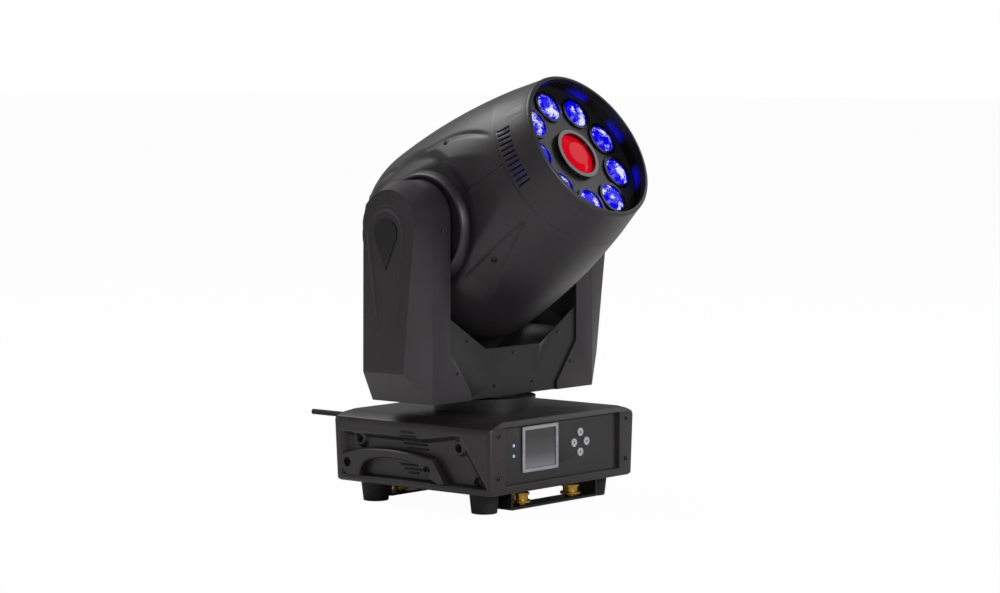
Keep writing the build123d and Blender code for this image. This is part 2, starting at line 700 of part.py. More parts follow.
def face_section(inset):
    """The outline of the arm's outer face, narrower than the shoulder and leaning forward at the top."""
    radius = FACE_ARC_RADIUS - inset
    low = FACE_LOW_Z + inset
    front = (FACE_ARC_Y - radius, FACE_ARC_Z)
    rear = (FACE_ARC_Y + radius, FACE_ARC_Z)
    with BuildLine() as path:
        Line((FACE_FRONT_Y + inset, low), (FACE_REAR_Y - inset, low))
        Line((FACE_REAR_Y - inset, low), rear)
        ThreePointArc(rear, (FACE_ARC_Y, FACE_ARC_Z + radius), front)
        Line(front, (FACE_FRONT_Y + inset, low))
    make_face(path.edges())


def foot_section(side, inset):
    """The arm's foot seen from the front, with its slanted inner edge."""
    inner_x = ARM_FOOT_X + inset
    slope = (ARM_FOOT_Z - 145.0) / (ARM_INNER_X - ARM_FOOT_X)
    knee_z = 145.0 + inset * (slope - math.hypot(1, slope))
    top_z = knee_z + slope * (ARM_INNER_X + 1 - inner_x)
    low_z = YOKE_BOTTOM_Z + inset
    Polygon((side * (ARM_INNER_X + 1), low_z), (side * (ARM_INNER_X + 1), top_z),
            (side * inner_x, knee_z), (side * inner_x, low_z), align=None)


cover_screws = [(x * 141.0, 348.0) for x in SIDES] + [(x * 112.0, 170.0) for x in SIDES]
plate_screws = [(-90.0, 209.0), (90.0, 209.0), (0.0, 189.0), (-37.5, 149.0), (37.5, 149.0)]

for side, name in zip(SIDES, ("arm_cover_left", "arm_cover_right")):
    with BuildPart() as arm_solid:
        with BuildSketch(facing_side(side * ARM_INNER_X)):
            arm_section(0)
        extrude(amount=side * (SHOULDER_X - ARM_INNER_X))
        with BuildSketch(facing_side(side * SHOULDER_X)):
            arm_section(0)
        with BuildSketch(facing_side(side * YOKE_HALF_WIDTH)):
            face_section(0)
        loft(ruled=True)
        with BuildSketch(facing_front(-ARM_HALF_DEPTH)):
            foot_section(side, 0)
        extrude(amount=-2 * ARM_HALF_DEPTH)
    with BuildPart() as arm_hollow:
        with BuildSketch(facing_side(side * (ARM_INNER_X - 1))):
            arm_section(COVER_WALL)
        extrude(amount=side * (SHOULDER_X - ARM_INNER_X + 1))
        with BuildSketch(facing_side(side * SHOULDER_X)):
            arm_section(COVER_WALL)
        with BuildSketch(facing_side(side * (YOKE_HALF_WIDTH - COVER_WALL))):
            face_section(COVER_WALL)
        loft(ruled=True)
        with Locations((side * (ARM_INNER_X - 20), 0, ARM_FOOT_Z + 100)):
            Box(40, 2 * ARM_HALF_DEPTH + 2, 200, mode=Mode.SUBTRACT)
        with BuildSketch(facing_front(-ARM_HALF_DEPTH + COVER_WALL)):
            foot_section(side, COVER_WALL)
        extrude(amount=-2 * (ARM_HALF_DEPTH - COVER_WALL))
        with BuildSketch(facing_side(side * (ARM_INNER_X - 0.5))):
            arm_section(COVER_WALL)
        extrude(amount=side * 1.0)
    with BuildPart() as arm_cover:
        add(arm_solid.part)
        add(arm_hollow.part, mode=Mode.SUBTRACT)
        for end in SIDES:
            with Locations((side * (ARM_INNER_X + ARM_FOOT_X) / 2, end * (plate_y - SHEET / 2),
                            (YOKE_BOTTOM_Z + ARM_FOOT_Z) / 2 + COVER_WALL)):
                Box(ARM_INNER_X - ARM_FOOT_X + 3, SHEET + 2 * GAP, ARM_FOOT_Z - YOKE_BOTTOM_Z,
                    mode=Mode.SUBTRACT)
        with Locations((side * (ARM_FOOT_X + 1), 0, frame_z)):
            Box(4, 2 * FRAME_HALF_DEPTH + 2 * GAP, 3 + 3 * GAP, align=(Align.CENTER, Align.CENTER, Align.MIN),
                mode=Mode.SUBTRACT)
        for x, z in cover_screws:
            if x * side > 0:
                with Locations((x, 0, z)):
                    Cylinder(1.6, 2 * ARM_HALF_DEPTH + 2, rotation=(90, 0, 0), mode=Mode.SUBTRACT)
    save(arm_cover, name)

with BuildPart() as yoke_frame:
    for side in SIDES:
        with BuildSketch(facing_side(side * ARM_INNER_X)):
            arm_section(COVER_WALL + GAP)
            with Locations((0, PIVOT_Z)):
                Circle(HUB_RADIUS + 1.5, mode=Mode.SUBTRACT)
            with Locations((0, 270)):
                RectangleRounded(50, 44, 8, mode=Mode.SUBTRACT)
        extrude(amount=side * 2.5)
    with BuildSketch(Plane.XY.offset(frame_z + GAP)):
        Rectangle(2 * ARM_INNER_X + 2, 2 * FRAME_HALF_DEPTH)
        Circle(CABLE_BORE, mode=Mode.SUBTRACT)
    extrude(amount=3)
    with BuildSketch(facing_front(-FRAME_HALF_DEPTH)):
        with BuildLine():
            Polyline((-ARM_INNER_X - 1, CHANNEL_Z + 32), (-76, CHANNEL_Z + 2), (76, CHANNEL_Z + 2),
                     (ARM_INNER_X + 1, CHANNEL_Z + 32), (ARM_INNER_X + 1, CHANNEL_Z + 29.5),
                     (76.5, CHANNEL_Z), (-76.5, CHANNEL_Z), (-ARM_INNER_X - 1, CHANNEL_Z + 29.5),
                     close=True)
        make_face()
    extrude(amount=-2 * FRAME_HALF_DEPTH)
    for end in SIDES:
        with BuildSketch(Plane.XY.offset(frame_z + GAP)):
            with Locations((-60, end * (FRAME_HALF_DEPTH - 4)), (60, end * (FRAME_HALF_DEPTH - 4))):
                Rectangle(10, 8)
        extrude(amount=CHANNEL_Z - frame_z)
save(yoke_frame, "yoke_frame")

for end, name in zip(SIDES, ("crossbar_plate_front", "crossbar_plate_rear")):
    with BuildPart() as crossbar_plate:
        with BuildSketch(facing_front(end * plate_y)):
            edge_x = ARM_INNER_X - GAP
            with BuildLine():
                Polyline((-ARM_FOOT_X + GAP, YOKE_BOTTOM_Z + GAP), (ARM_FOOT_X - GAP, YOKE_BOTTOM_Z + GAP),
                         (ARM_FOOT_X - GAP, frame_z + GAP), (edge_x, frame_z + GAP),
                         (edge_x, CROSSBAR_HORN_Z), (CROSSBAR_FLAT_X, CROSSBAR_Z),
                         (-CROSSBAR_FLAT_X, CROSSBAR_Z), (-edge_x, CROSSBAR_HORN_Z),
                         (-edge_x, frame_z + GAP), (-ARM_FOOT_X + GAP, frame_z + GAP), close=True)
            make_face()
            with Locations(*plate_screws):
                Circle(1.6, mode=Mode.SUBTRACT)
        extrude(amount=end * SHEET)
        with BuildSketch(facing_front(end * (plate_y - SHEET))):
            with Locations((-60, frame_z + 20), (60, frame_z + 20)):
                Rectangle(10, 12)
        extrude(amount=end * (plate_y - SHEET - FRAME_HALF_DEPTH))
    save(crossbar_plate, name)

with BuildPart() as arm_badges:
    for side in SIDES:
        with BuildSketch(facing_side(side * YOKE_HALF_WIDTH)):
            with Locations((FACE_ARC_Y + 5, FACE_ARC_Z - 12)):
                Circle(18.5)
            Polygon((FACE_ARC_Y - 13, FACE_ARC_Z - 16), (FACE_ARC_Y + 23, FACE_ARC_Z - 16),
                    (FACE_ARC_Y + 5, FACE_ARC_Z - 57), align=None)
        extrude(amount=side * 1.2)
save(arm_badges, "arm_badges")

with BuildPart() as tilt_bearings:
    for side in SIDES:
        with BuildSketch(facing_side(side * (ARM_INNER_X + 2.5))):
            with Locations((0, PIVOT_Z)):
                ring(TILT_BEARING_RADIUS, HUB_RADIUS + RUN_FIT)
        extrude(amount=side * 9)
save(tilt_bearings, "tilt_bearings")

motor_x = -(ARM_INNER_X + 2.5)
belt_x = -HUB_END_X - 4.0
tilt_pinion_place = (0, TILT_MOTOR_Z)
with BuildPart() as tilt_motor:
    with BuildSketch(facing_side(motor_x)):
        with Locations(tilt_pinion_place):
            RectangleRounded(MOTOR_SIZE, MOTOR_SIZE, 4)
    extrude(amount=-(MOTOR_LENGTH + 4))
    with BuildSketch(facing_side(motor_x - MOTOR_LENGTH - 4)):
        with Locations(tilt_pinion_place):
            Circle(2.5)
    extrude(amount=-13)
save(tilt_motor, "tilt_motor")

with BuildPart() as tilt_pinion:
    with BuildSketch(facing_side(belt_x + 1)):
        with Locations(tilt_pinion_place):
            ring(PINION_RADIUS, 2.5 + RUN_FIT)
    extrude(amount=-(BELT_WIDTH + 2))
save(tilt_pinion, "tilt_pinion")

with BuildPart() as tilt_belt:
    with BuildSketch(facing_side(belt_x)):
        belt_outline((0, PIVOT_Z), TILT_PULLEY_RADIUS + GAP + BELT_THICK, tilt_pinion_place,
                     PINION_RADIUS + GAP + BELT_THICK)
    extrude(amount=-BELT_WIDTH)
    with BuildSketch(facing_side(belt_x)):
        belt_outline((0, PIVOT_Z), TILT_PULLEY_RADIUS + GAP, tilt_pinion_place, PINION_RADIUS + GAP)
    extrude(amount=-BELT_WIDTH, mode=Mode.SUBTRACT)
save(tilt_belt, "tilt_belt")

with BuildPart() as yoke_screws:
    for end in SIDES:
        with BuildSketch(facing_front(end * ARM_HALF_DEPTH)):
            with Locations(*cover_screws):
                Circle(3)
        extrude(amount=-end * 1.6)
        with BuildSketch(facing_front(end * ARM_HALF_DEPTH)):
            with Locations(*cover_screws):
                Circle(1.5)
        extrude(amount=end * 2.5)
        with BuildSketch(facing_front(end * plate_y)):
            with Locations(*plate_screws):
                Circle(3)
        extrude(amount=-end * 1.6)
        with BuildSketch(facing_front(end * plate_y)):
            with Locations(*plate_screws):
                Circle(1.5)
        extrude(amount=end * 2)
save(yoke_screws, "yoke_screws")

# ---------------------------------------------------------------- head

UP = Vector(0, math.sin(TILT), math.cos(TILT))
SPLIT_H = 5.0
SCREW_T = 65.0
SCREW_DEG = (50.0, 130.0)
screw_radius_at = head_radius(SCREW_T)
screw_angles = [side * angle for side in SIDES for angle in SCREW_DEG]


def radial_plane(t, degrees, radius):
    """A plane on the head's skin at t, facing outward, with degrees counted from the top."""
    angle = math.radians(degrees)
    out = Vector(math.sin(angle), 0, 0) + UP * math.cos(angle)
    return Plane(origin=PIVOT + FORWARD * t + out * radius, x_dir=FORWARD, z_dir=out)


def body_of_head(rear, front, inset):
    """The head's solid form between two stations, flat on both sides."""
    with BuildSketch(HEAD_SECTION) as section:
        head_outline(rear, front, inset)
    revolve(section.sketch, axis=HEAD_AXIS)
    width = 2 * (HEAD_SIDE_X - inset)
    with BuildSketch(HEAD.offset(rear - 1)) as slab:
        Rectangle(width, 4 * HEAD_RADIUS)
    extrude(slab.sketch, amount=front - rear + 2, mode=Mode.INTERSECT)


with BuildPart() as shell_blank:
    body_of_head(CAP_T, PARTING_T, 0)
    for side in SIDES:
        with BuildSketch(facing_side(side * (HEAD_SIDE_X - WALL))):
            with Locations((0, PIVOT_Z)):
                Circle(BOSS_RADIUS)
        extrude(amount=side * (ARM_INNER_X - 2 * GAP - HEAD_SIDE_X + WALL))
with BuildPart() as shell_core:
    body_of_head(CAP_T, PARTING_T, WALL)
with BuildPart() as head_shell:
    add(shell_blank.part)
    add(shell_core.part, mode=Mode.SUBTRACT)
    for side in SIDES:
        with BuildSketch(facing_side(side * (HEAD_SIDE_X - 2 * WALL))):
            with Locations((0, PIVOT_Z)):
                Circle(HUB_RADIUS + GAP)
        extrude(amount=side * 30, mode=Mode.SUBTRACT)
    for degrees in screw_angles:
        with BuildSketch(radial_plane(SCREW_T, degrees, screw_radius_at - 2 * WALL)):
            Circle(4)
        extrude(amount=4 * WALL, mode=Mode.SUBTRACT)

for name, keep, shift in (("head_shell_upper", Keep.TOP, 0.5), ("head_shell_lower", Keep.BOTTOM, -0.5)):
    with BuildPart() as half_shell:
        add(head_shell.part)
        split(bisect_by=Plane(origin=PIVOT + UP * (SPLIT_H + shift * GAP), z_dir=UP), keep=keep)
    save(half_shell, name)

with BuildPart() as head_screws:
    for degrees in screw_angles:
        with BuildSketch(radial_plane(SCREW_T, degrees, screw_radius_at - WALL + 0.5)):
            Circle(4 - GAP)
        extrude(amount=2)
save(head_screws, "head_screws")

sleeve_rear = PARTING_T + GAP
sleeve_shoulder = RIM_T - 5


def sleeve_radius(t):
    """Outer radius of the front sleeve, which tapers towards the rim."""
    share = (t - sleeve_rear) / (sleeve_shoulder - sleeve_rear)
    return PARTING_RADIUS + (RIM_RADIUS + 1.5 - PARTING_RADIUS) * share


with BuildPart() as front_sleeve:
    with BuildSketch(HEAD_SECTION):
        with BuildLine():
            shoulder_r = sleeve_radius(sleeve_shoulder)
            Line((sleeve_rear, PARTING_RADIUS), (sleeve_shoulder, shoulder_r))
            ThreePointArc((sleeve_shoulder, shoulder_r), (RIM_T - 1, RIM_RADIUS + 0.2),
                          (RIM_T, RIM_RADIUS - 1.5))
            Line((RIM_T, RIM_RADIUS - 1.5), (RIM_T, RIM_RADIUS - RIM_WALL))
            Line((RIM_T, RIM_RADIUS - RIM_WALL), (sleeve_rear, PARTING_RADIUS - RIM_WALL))
            Line((sleeve_rear, PARTING_RADIUS - RIM_WALL), (sleeve_rear, PARTING_RADIUS))
        make_face()
    revolve(axis=HEAD_AXIS)
    slot_step = (SLOT_LAST_DEG - SLOT_FIRST_DEG) / (SLEEVE_SLOTS - 1)
    with BuildSketch(HEAD.offset(PARTING_T + 3.5)):
        for side in SIDES:
            for number in range(SLEEVE_SLOTS):
                degrees = 90 + side * (SLOT_FIRST_DEG + number * slot_step)
                with PolarLocations(PARTING_RADIUS - 2, 1, start_angle=degrees):
                    Rectangle(24, SLOT_WIDTH)
    extrude(amount=SLOT_LENGTH, mode=Mode.SUBTRACT)
save(front_sleeve, "front_sleeve")

plate_rim = sleeve_radius(LENS_T) - RIM_WALL - 2 * GAP
barrel_radius = CENTRE_LENS_RADIUS + BARREL_WALL
with BuildPart() as lens_plate:
    with BuildSketch(HEAD.offset(LENS_T - WALL)):
        Circle(plate_rim)
        Circle(barrel_radius + GAP, mode=Mode.SUBTRACT)
        with PolarLocations(LENS_PITCH_RADIUS, LENS_COUNT, start_angle=LENS_START_DEG):
            Circle(LENS_RADIUS + GAP, mode=Mode.SUBTRACT)
    extrude(amount=WALL)
save(lens_plate, "lens_plate")

board_t = LENS_T - 24.0
collimator_length = LENS_T - board_t - 1.6
with BuildPart() as wash_lenses:
    for place in PolarLocations(LENS_PITCH_RADIUS, LENS_COUNT, start_angle=LENS_START_DEG):
        with BuildSketch(HEAD.offset(board_t + 1.6)):
            with Locations(place):
                Circle(8)
        with BuildSketch(HEAD.offset(LENS_T)):
            with Locations(place):
                Circle(LENS_RADIUS)
        loft(ruled=True)
        with BuildSketch(HEAD.offset(LENS_T)):
            with Locations(place):
                Circle(LENS_RADIUS - 1.5)
        with BuildSketch(HEAD.offset(LENS_T + 4)):
            with Locations(place):
                Circle(LENS_RADIUS * 0.6)
        loft(ruled=True)
save(wash_lenses, "wash_lenses")

with BuildPart() as lens_rims:
    with BuildSketch(HEAD.offset(LENS_T)):
        with PolarLocations(LENS_PITCH_RADIUS, LENS_COUNT, start_angle=LENS_START_DEG):
            ring(LENS_RADIUS + 2.5, LENS_RADIUS - 1.2)
    extrude(amount=2.5)
save(lens_rims, "lens_rims")

with BuildPart() as centre_barrel:
    with BuildSketch(HEAD.offset(BARREL_REAR_T)):
        ring(barrel_radius, CENTRE_LENS_RADIUS + RUN_FIT)
    extrude(amount=LENS_T + 6 - BARREL_REAR_T)
    with BuildSketch(HEAD.offset(LENS_T + GAP)):
        ring(barrel_radius + 3, CENTRE_LENS_RADIUS + RUN_FIT)
    extrude(amount=6 - GAP)
save(centre_barrel, "centre_barrel")

with BuildPart() as centre_lens:
    with BuildSketch(HEAD.offset(LENS_T - 8)):
        Circle(CENTRE_LENS_RADIUS - GAP)
    extrude(amount=8)
    with BuildSketch(HEAD.offset(LENS_T)):
        Circle(CENTRE_LENS_RADIUS - GAP)
    with BuildSketch(HEAD.offset(LENS_T + 6)):
        Circle(CENTRE_LENS_RADIUS * 0.55)
    loft(ruled=True)
save(centre_lens, "centre_lens")

with BuildPart() as focus_carriage:
    with BuildSketch(HEAD.offset(92)):
        ring(CENTRE_LENS_RADIUS, CENTRE_LENS_RADIUS - 4)
    extrude(amount=24)
    with BuildSketch(HEAD.offset(100)):
        Circle(CENTRE_LENS_RADIUS - 3)
    extrude(amount=8)
save(focus_carriage, "focus_carriage")

bulkhead_t = 112.0
rear_bulkhead_t = -73.0
chassis_x = 98.0
wheel_bracket_t = 32.0
with BuildPart() as head_chassis:
    for side in SIDES:
        with BuildSketch(facing_side(side * chassis_x)):
            with Locations((0, PIVOT_Z)):
                ring(HUB_RADIUS, HUB_BORE)
        extrude(amount=side * (HUB_END_X - chassis_x))
        with BuildSketch(Plane(origin=PIVOT + Vector(side * chassis_x, 0, 0), x_dir=FORWARD,
                               z_dir=(-1, 0, 0))):
            with Locations(((bulkhead_t + rear_bulkhead_t) / 2, 0)):
                Rectangle(bulkhead_t - rear_bulkhead_t, 88)
            Circle(HUB_BORE, mode=Mode.SUBTRACT)
        extrude(amount=-side * WALL)
    with BuildSketch(HEAD.offset(bulkhead_t)):
        Circle(head_radius(bulkhead_t + WALL, WALL) - GAP)
        Rectangle(2 * (HEAD_SIDE_X - WALL - GAP), 4 * HEAD_RADIUS, mode=Mode.INTERSECT)
        Circle(barrel_radius + GAP, mode=Mode.SUBTRACT)
    extrude(amount=WALL)
    with BuildSketch(HEAD.offset(rear_bulkhead_t)):
        Circle(head_radius(rear_bulkhead_t, WALL) - GAP)
        Rectangle(2 * (HEAD_SIDE_X - WALL - GAP), 4 * HEAD_RADIUS, mode=Mode.INTERSECT)
        Circle(44, mode=Mode.SUBTRACT)
    extrude(amount=WALL)
    with BuildSketch(HEAD.offset(wheel_bracket_t)):
        with Locations((0, WHEEL_OFFSET)):
            Rectangle(30, 34)
        with Locations((0, 42)):
            Rectangle(2 * chassis_x + 2, 12)
    extrude(amount=SHEET)
    with BuildSketch(HEAD.offset(8)):
        with Locations((0, WHEEL_OFFSET)):
            Circle(3)
    extrude(amount=wheel_bracket_t - 8)
save(head_chassis, "head_chassis")

for name, wheel_t in (("colour_wheel", 12.0), ("gobo_wheel", 22.0)):
    with BuildPart() as wheel:
        with BuildSketch(HEAD.offset(wheel_t)):
            with Locations((0, WHEEL_OFFSET)):
                ring(WHEEL_RADIUS, 3 + RUN_FIT)
                with PolarLocations(WHEEL_OFFSET, 8, start_angle=-90):
                    Circle(GOBO_RADIUS, mode=Mode.SUBTRACT)
        extrude(amount=1.5)
        with BuildSketch(HEAD.offset(wheel_t)):
            with Locations((0, WHEEL_OFFSET)):
                ring(8, 3 + RUN_FIT)
        extrude(amount=6)
    save(wheel, name)

sink_rear = rear_bulkhead_t + WALL
with BuildPart() as heat_sink:
    with BuildSketch(HEAD.offset(-30)):
        Rectangle(130, 100)
    extrude(amount=10)
    with BuildSketch(HEAD.offset(sink_rear)):
        with GridLocations(10, 0, 13, 1):
            Rectangle(2, 100)
    extrude(amount=-30 - sink_rear)
save(heat_sink, "heat_sink")

with BuildPart() as led_boards:
    with BuildSketch(HEAD.offset(board_t)):
        ring(PARTING_RADIUS - RIM_WALL - GAP - 1.5, barrel_radius + GAP)
    extrude(amount=1.6)
    with BuildSketch(HEAD.offset(-20)):
        Rectangle(60, 60)
    extrude(amount=8)
    with BuildSketch(HEAD.offset(-12)):
        ring(24, 12)
    extrude(amount=16)
save(led_boards, "led_boards")

fan_rear = rear_bulkhead_t - 20
with BuildPart() as head_fan_frame:
    with BuildSketch(HEAD.offset(fan_rear)):
        RectangleRounded(92, 92, 5)
        Circle(43, mode=Mode.SUBTRACT)
    extrude(amount=20)
    with BuildSketch(HEAD.offset(fan_rear)):
        Rectangle(88, 6)
        Rectangle(6, 88)
        Circle(14)
    extrude(amount=2)
    with BuildSketch(HEAD.offset(fan_rear)):
        Circle(2)
    extrude(amount=18)
save(head_fan_frame, "head_fan_frame")

with BuildPart() as head_fan_rotor:
    with BuildSketch(HEAD.offset(fan_rear + 2 + GAP)):
        ring(16, 2 + RUN_FIT)
    extrude(amount=14)
    with BuildSketch(HEAD.offset(fan_rear + 5)):
        with PolarLocations(28, 7):
            Rectangle(26, 3)
    extrude(amount=9)
save(head_fan_rotor, "head_fan_rotor")

with BuildPart() as cap_core:
    body_of_head(REAR_T + WALL, CAP_T - GAP, WALL)
with BuildPart() as rear_cap:
    body_of_head(REAR_T, CAP_T - GAP, 0)
    add(cap_core.part, mode=Mode.SUBTRACT)
    with BuildSketch(HEAD.offset(-130)):
        with PolarLocations(95, LOUVRE_COUNT):
            Rectangle(80, 4)
    extrude(amount=32, mode=Mode.SUBTRACT)
save(rear_cap, "rear_cap")

with BuildPart() as tilt_pulley:
    with BuildSketch(facing_side(-HUB_END_X)):
        with Locations((0, PIVOT_Z)):
            ring(HUB_RADIUS, HUB_BORE)
    extrude(amount=-2)
    with BuildSketch(facing_side(-HUB_END_X - 2)):
        with Locations((0, PIVOT_Z)):
            ring(TILT_PULLEY_RADIUS, HUB_BORE)
    extrude(amount=-10)
    for flange_x in (-HUB_END_X - 2, -HUB_END_X - 10.5):
        with BuildSketch(facing_side(flange_x)):
            with Locations((0, PIVOT_Z)):
                ring(TILT_PULLEY_RADIUS + 2.2, HUB_BORE)
        extrude(amount=-1.5)
save(tilt_pulley, "tilt_pulley")
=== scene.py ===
"""Looks of a moving head stage light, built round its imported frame."""

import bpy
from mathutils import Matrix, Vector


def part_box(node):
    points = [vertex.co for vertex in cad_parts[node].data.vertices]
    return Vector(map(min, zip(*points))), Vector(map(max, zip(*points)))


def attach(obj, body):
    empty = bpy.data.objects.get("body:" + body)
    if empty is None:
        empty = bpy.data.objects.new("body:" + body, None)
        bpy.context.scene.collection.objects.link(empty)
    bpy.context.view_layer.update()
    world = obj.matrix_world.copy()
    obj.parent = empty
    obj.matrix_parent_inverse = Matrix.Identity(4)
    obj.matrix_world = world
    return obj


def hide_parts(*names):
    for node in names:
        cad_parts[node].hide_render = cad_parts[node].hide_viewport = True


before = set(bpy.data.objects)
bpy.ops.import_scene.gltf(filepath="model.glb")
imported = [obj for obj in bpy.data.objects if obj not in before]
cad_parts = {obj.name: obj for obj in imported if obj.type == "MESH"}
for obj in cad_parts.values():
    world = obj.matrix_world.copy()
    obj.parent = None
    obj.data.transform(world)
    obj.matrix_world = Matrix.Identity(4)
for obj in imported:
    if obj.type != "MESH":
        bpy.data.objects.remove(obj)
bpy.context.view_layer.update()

import logging
import math
from dataclasses import dataclass
from enum import Enum, IntEnum
from typing import Sequence

import bmesh
import bpy
from mathutils import Matrix, Vector

LOG = logging.getLogger("moving_head")
MM = 0.001
PIVOT = Vector((0.0, 0.0, 0.350))
TILT_AT_REST = math.radians(31.5)
FORWARD = Vector((0.0, -math.cos(TILT_AT_REST), math.sin(TILT_AT_REST)))
UP = Vector((0.0, math.sin(TILT_AT_REST), math.cos(TILT_AT_REST)))
HEAD_TURN = Matrix((Vector((1, 0, 0)), UP, FORWARD)).transposed()


class Body(Enum):
    """The moving bodies that pieces ride on."""

    BASE = "base"
    ANTENNA = "antenna"
    YOKE = "yoke"
    HEAD = "head"


class Side(IntEnum):
    """The two sides of the light, with the sign of X on each."""

    LEFT = -1
    RIGHT = 1


def linear(hex_code: str) -> tuple[float, float, float, float]:
    """Turns an sRGB hex colour into linear values.

    Args:
        hex_code: Six hex digits, such as "2b292c".

    Returns:
        Red, green, blue and an alpha of one.
    """
    parts = [int(hex_code[i:i + 2], 16) / 255 for i in (0, 2, 4)]
    values = [c / 12.92 if c <= 0.04045 else ((c + 0.055) / 1.055) ** 2.4 for c in parts]
    return (*values, 1.0)


def add(tree: bpy.types.NodeTree, kind: str, inputs: dict | None = None,
        stops: Sequence[tuple[float, str]] = (), **settings: object) -> bpy.types.Node:
    """Adds a node with its settings and fills or links its inputs.

    Args:
        tree: The tree that gets the node.
        kind: The node's type name.
        inputs: Values or output sockets by input name or number.
        stops: Positions and hex colours of a colour ramp.
        **settings: Properties of the node.

    Returns:
        The new node.
    """
    node = tree.nodes.new(kind)
    for name, value in settings.items():
        setattr(node, name, value)
    for key, value in (inputs or {}).items():
        if isinstance(value, bpy.types.NodeSocket):
            tree.links.new(value, node.inputs[key])
        else:
            node.inputs[key].default_value = value
    if stops:
        elements = node.color_ramp.elements
        while len(elements) < len(stops):
            elements.new(0.5)
        for element, (position, code) in zip(elements, stops):
            element.position, element.color = position, linear(code)
    return node


@dataclass(frozen=True)
class Finish:
    """A surface with one base colour, faint colour patches and a fine relief.

    Attributes:
        name: What the surface is made of and how it was made.
        colour: Main colour.
        patch: Second colour, met in soft patches.
        roughness: Middle roughness.
        metallic: One for bare metal.
        ior: Index of refraction of a plastic or paint.
        patch_mm: Size of a patch.
        grain_mm: Size of one grain.
        relief_mm: Height of the grain.
        spread: How far the roughness swings either way.
        stretch: Grain length over grain width along X, for a brushed surface.
        coat: Weight of a clear gloss coat.
    """

    name: str
    colour: str
    patch: str
    roughness: float
    metallic: float = 0.0
    ior: float = 1.5
    patch_mm: float = 60.0
    grain_mm: float = 0.9
    relief_mm: float = 0.03
    spread: float = 0.05
    stretch: float = 1.0
    coat: float = 0.0

    def base(self, material: bpy.types.Material) -> tuple[bpy.types.NodeTree, bpy.types.Node,
                                                          bpy.types.NodeSocket]:
        """Clears the material and adds the shader and the object coordinates.

        Args:
            material: The material to fill.

        Returns:
            The tree, its shader and the coordinates.
        """
        material.use_nodes = True
        tree = material.node_tree
        tree.nodes.clear()
        shader = add(tree, "ShaderNodeBsdfPrincipled", {"Metallic": self.metallic, "Coat Weight": self.coat})
        if not self.metallic:
            shader.inputs["IOR"].default_value = self.ior
        add(tree, "ShaderNodeOutputMaterial", {"Surface": shader.outputs[0]})
        return tree, shader, add(tree, "ShaderNodeTexCoord").outputs["Object"]

    def build(self) -> bpy.types.Material:
        """Makes the material, once for each name.

        Returns:
            The material.
        """
        found = bpy.data.materials.get(self.name)
        if found:
            return found
        material = bpy.data.materials.new(self.name)
        tree, shader, place = self.base(material)
        patches = add(tree, "ShaderNodeTexNoise",
                      {"Vector": place, "Scale": 1 / (self.patch_mm * MM), "Detail": 4.0})
        colour = add(tree, "ShaderNodeValToRGB", {"Fac": patches.outputs["Fac"]}, [(0.35, self.colour), (0.7, self.patch)])
        tree.links.new(colour.outputs["Color"], shader.inputs["Base Color"])
        turned = add(tree, "ShaderNodeMapping", {"Vector": place, "Scale": (1 / self.stretch, 1.0, 1.0)})
        grain = add(tree, "ShaderNodeTexNoise",
                    {"Vector": turned.outputs[0], "Scale": 1 / (self.grain_mm * MM), "Detail": 2.0})
        rough = add(tree, "ShaderNodeMapRange",
                    {"Value": patches.outputs["Fac"], "To Min": self.roughness - self.spread,
                     "To Max": self.roughness + self.spread})
        tree.links.new(rough.outputs[0], shader.inputs["Roughness"])
        bump = add(tree, "ShaderNodeBump", {"Height": grain.outputs["Fac"], "Distance": self.relief_mm * MM,
                                            "Strength": 1.0})
        tree.links.new(bump.outputs[0], shader.inputs["Normal"])
        self.extra(tree, shader, place)
        return material

    def extra(self, tree: bpy.types.NodeTree, shader: bpy.types.Node, place: bpy.types.NodeSocket) -> None:
        """Adds what a special finish needs; a plain one needs nothing."""


@dataclass(frozen=True)
class LitLens(Finish):
    """A clear moulded lens with a lit diode under it: saturated light with pale, broken glints in scattered patches.

    Attributes:
        glow: Colour of the light.
        glint: Colour of the glints.
        strength: Strength of the light.
        facet_mm: Size of the facets that break the light up.
        cover: Share of the lens with glints, from none at zero.
    """

    glow: str = "0a00e6"
    glint: str = "eceeff"
    strength: float = 0.9
    facet_mm: float = 4.0
    cover: float = 0.42

    def extra(self, tree: bpy.types.NodeTree, shader: bpy.types.Node, place: bpy.types.NodeSocket) -> None:
        """Adds the light and its glints.

        Args:
            tree: The material's tree.
            shader: Its shader.
            place: The object coordinates.
        """
        warped = add(tree, "ShaderNodeTexNoise",
                     {"Vector": place, "Scale": 1 / (self.facet_mm * MM), "Detail": 5.0, "Roughness": 0.62,
                      "Distortion": 1.6})
        zones = add(tree, "ShaderNodeTexNoise",
                    {"Vector": place, "Scale": 0.28 / (self.facet_mm * MM), "Detail": 1.0})
        mixed = add(tree, "ShaderNodeMath", {0: warped.outputs["Fac"], 1: zones.outputs["Fac"]},
                    operation="ADD")
        edge = 1.2 - self.cover * 0.25
        scaled = add(tree, "ShaderNodeMapRange", {"Value": mixed.outputs[0], "From Min": edge - 0.02,
                                                  "From Max": edge + 0.07})
        colour = add(tree, "ShaderNodeValToRGB", {"Fac": scaled.outputs[0]}, [(0.0, self.glow), (1.0, self.glint)])
        tree.links.new(colour.outputs["Color"], shader.inputs["Emission Color"])
        shader.inputs["Emission Strength"].default_value = self.strength
        shader.inputs["Specular IOR Level"].default_value = 0.12


